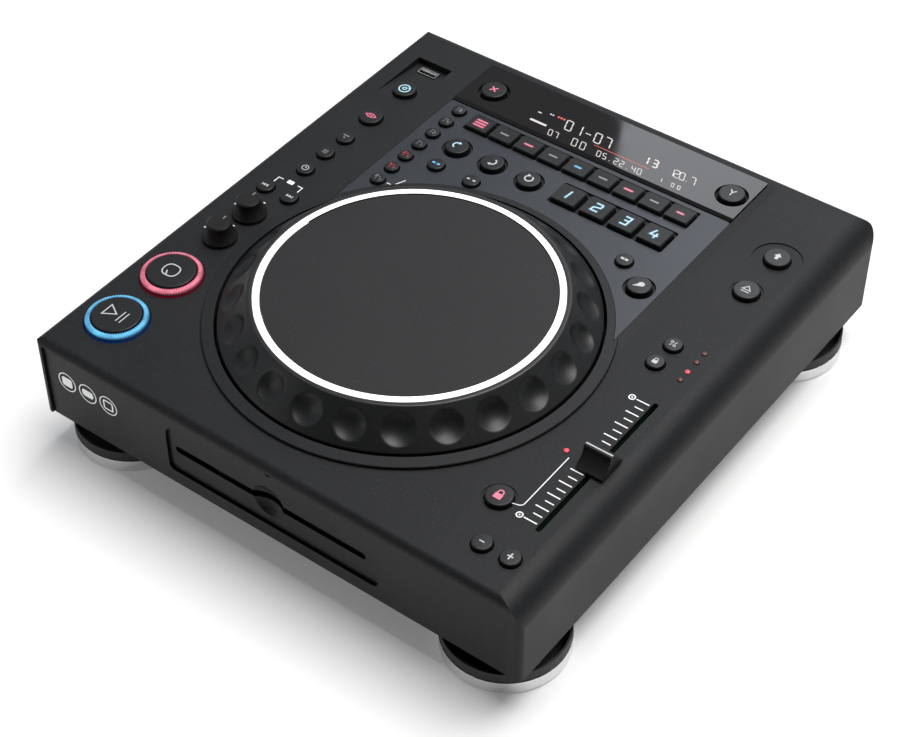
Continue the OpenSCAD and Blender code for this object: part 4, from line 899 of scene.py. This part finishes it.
# the white print is given a weak emission: a painted glow that stands in for the light it catches
white_print_painted_glow = glowing_surface("white_print_painted_glow", (0.74, 0.76, 0.78), 0.42, base=(0.62, 0.62, 0.62), spot=0.2)
console_print = [ribbon([(-86.6, 37.5), (-82.4, 37.5), (-78.8, 45.6)], 0.55)]
for name, shapes, slot, top in (("deck_print", deck_print, "shell_plastic", 0.0),
                                ("console_print", console_print, "plate_metal", plate_top)):
    sign(name, shapes, white_print_painted_glow, "player", (0, 0), level_at(top), print_film)

# the unlit pilot domes glow faintly red: a painted glow, since their lamps are off
lamp_off_painted_glow = glowing_surface("lamp_off_painted_glow", (0.2, 0.012, 0.012), 0.15, base=(0.06, 0.008, 0.008))
pilots = [(139.9, 25.6, lamp_off_painted_glow), (139.9, 17.4, lamp_off_painted_glow), (139.9, 8.4, sign_red), (139.9, 1.1, lamp_off_painted_glow),
          (120.4, -77.1, sign_red)]
dome_profile = rounded([(1.5, -0.5), (1.5, 0.62), (0.01, 0.75)], [0.35], steps=6)
dome = lathe(dome_profile, 24)
dome_faces = grid_faces(*dome.shape[:2])[:, ::-1]
for index, (x, y, emitter) in enumerate(pilots):
    points = on_deck(dome[..., 0] + x, dome[..., 1] + y, dome[..., 2])
    mesh_piece(f"pilot_{index}", points, dome_faces, emitter, "player")


# ---------------------------------------------------------------- display
# The fluorescent display under the lens: rows of bar numerals, a red rule, and small flags. They
# are thin films on the lens's face, since its black backing hides the module under it.
vfd_white = glowing_surface("vfd_white", (0.9, 0.84, 0.82), 0.95)
vfd_red = glowing_surface("vfd_red", (1.0, 0.12, 0.1), 0.9)
lean = -0.34
rows_white = (
    numerals("01-07", -30.4, 139.4, 8.6, 7.0, 0.75, lean)
    + numerals("07", -35.6, 129.2, 5.0, 4.2, 0.5, lean)
    + numerals("00", -18.6, 129.2, 6.4, 6.0, 0.55, lean)
    + numerals("05.22.40", -0.6, 129.4, 4.8, 4.1, 0.5, lean)
    + numerals("13", 25.2, 140.4, 6.2, 6.6, 1.0, lean)
    + numerals("120.7", 43.4, 139.8, 6.2, 3.7, 0.6, lean)
    + numerals("1 00", 42.4, 131.3, 3.2, 4.2, 0.45, lean)
    + [pill(-46.8, 135.6, 12.0, 1.7, 0.5), pill(-51.5, 144.1, 2.6, 0.9, 0.3)]
    + [bar(-45.0 + i * 1.7, 146.6, 1.1, 1.1) for i in range(2)]
)
rows_red = (
    [bar(-6.4 + i * 1.25, 137.2, 0.95, 0.55) for i in range(31)]
    + [bar(-39.5 + i * 2.0, 147.0, 1.4, 1.5) for i in range(3)]
)
for name, shapes, emitter in (("display_rows", rows_white, vfd_white), ("display_rule", rows_red, vfd_red)):
    sign(name, shapes, emitter, "player", (0, 0), level_at(lens_top), thin_film)


# ---------------------------------------------------------------- front panel's badges
# Three rings left of the slot, each around a plain shape, printed in white on the panel's face as
# thin films; the print carries a painted glow.
panel_y, panel_foot_z = -179.5, 24.0


def front_sign(name, shapes, material):
    """Flat outlines on the front panel, x to its right and z up from its foot, facing the player."""
    flat, faces = outline_faces(shapes)
    x, z = flat[:, 0], flat[:, 1] + panel_foot_z
    points = np.stack([x, np.full_like(x, panel_y), z], axis=-1) * MM
    return film_piece(name, points, faces, material, "player", print_film)


badge_x, badge_z = (-143.5, -128.0, -112.6), 31.2
badges = [shape for x in badge_x for shape in ring_band(x, badge_z, 6.2, 0.65)]
badges += [pill(badge_x[0], badge_z, 7.6, 6.6, 1.6), pill(badge_x[1], badge_z, 8.2, 5.0, 1.8)]
badges += [loop_of(pill(badge_x[2], badge_z, 6.4, 6.0, 1.0), 1.0)]
front_sign("panel_rings", badges, white_print_painted_glow)


# ---------------------------------------------------------------- steel, boards and sockets
# The folded base pan of powder-coated steel, the drive's plated case, the bush of sintered bronze,
# and the boards of green fibre. Of the boards' parts, the rear sockets and the USB port show.
pan_black = plastic("powder_coat", (0.014, 0.014, 0.0145), 0.5, grain=900.0, depth=0.00004)
dress("base_pan", pan_black)
plated = metal("plated_sheet", (0.62, 0.63, 0.64), 0.34, 60.0, (1, 8, 1), 0.000006)
dress("disc_drive", plated)
dress("jog_bearing", metal("sintered_bronze", (0.6, 0.42, 0.25), 0.4, 1500.0, (1, 1, 1), 0.00001))
dress("power_rocker", knob_black)
board_green = plastic("solder_mask", (0.006, 0.03, 0.014), 0.4, grain=500.0, depth=0.00003, specular=0.3)
socket_black = plastic("socket_black", (0.014, 0.014, 0.014), 0.4)
socket_metal = metal("socket_plating", (0.75, 0.74, 0.72), 0.22, 300.0, (1, 1, 1), 0.000003)
boards = dress("circuit_boards", board_green, socket_black, socket_metal)
mid = face_middles(boards)
green, black, plating = range(3)
rear_from_y, rear_below_z = 152.0, 66.0
usb_half_w, usb_half_d, usb_from_z = 6.7, 3.2, 73.5
line_sockets, line_half_w, line_from_y = (70.0, 88.0, 116.0), 4.6, 174.4
usb_x, usb_y = on_deck(-135.6, 142.3, -4.0)[:2] / MM
kind = np.full(len(mid), green, np.int32)
kind[(mid[:, 1] > rear_from_y) & (mid[:, 2] <= rear_below_z)] = black
in_usb = (np.abs(mid[:, 0] - usb_x) < usb_half_w) & (np.abs(mid[:, 1] - usb_y) < usb_half_d)
kind[in_usb & (mid[:, 2] > usb_from_z)] = plating
for socket_x in line_sockets:
    kind[(np.abs(mid[:, 0] - socket_x) < line_half_w) & (mid[:, 1] > line_from_y)] = plating
boards.polygons.foreach_set("material_index", kind)
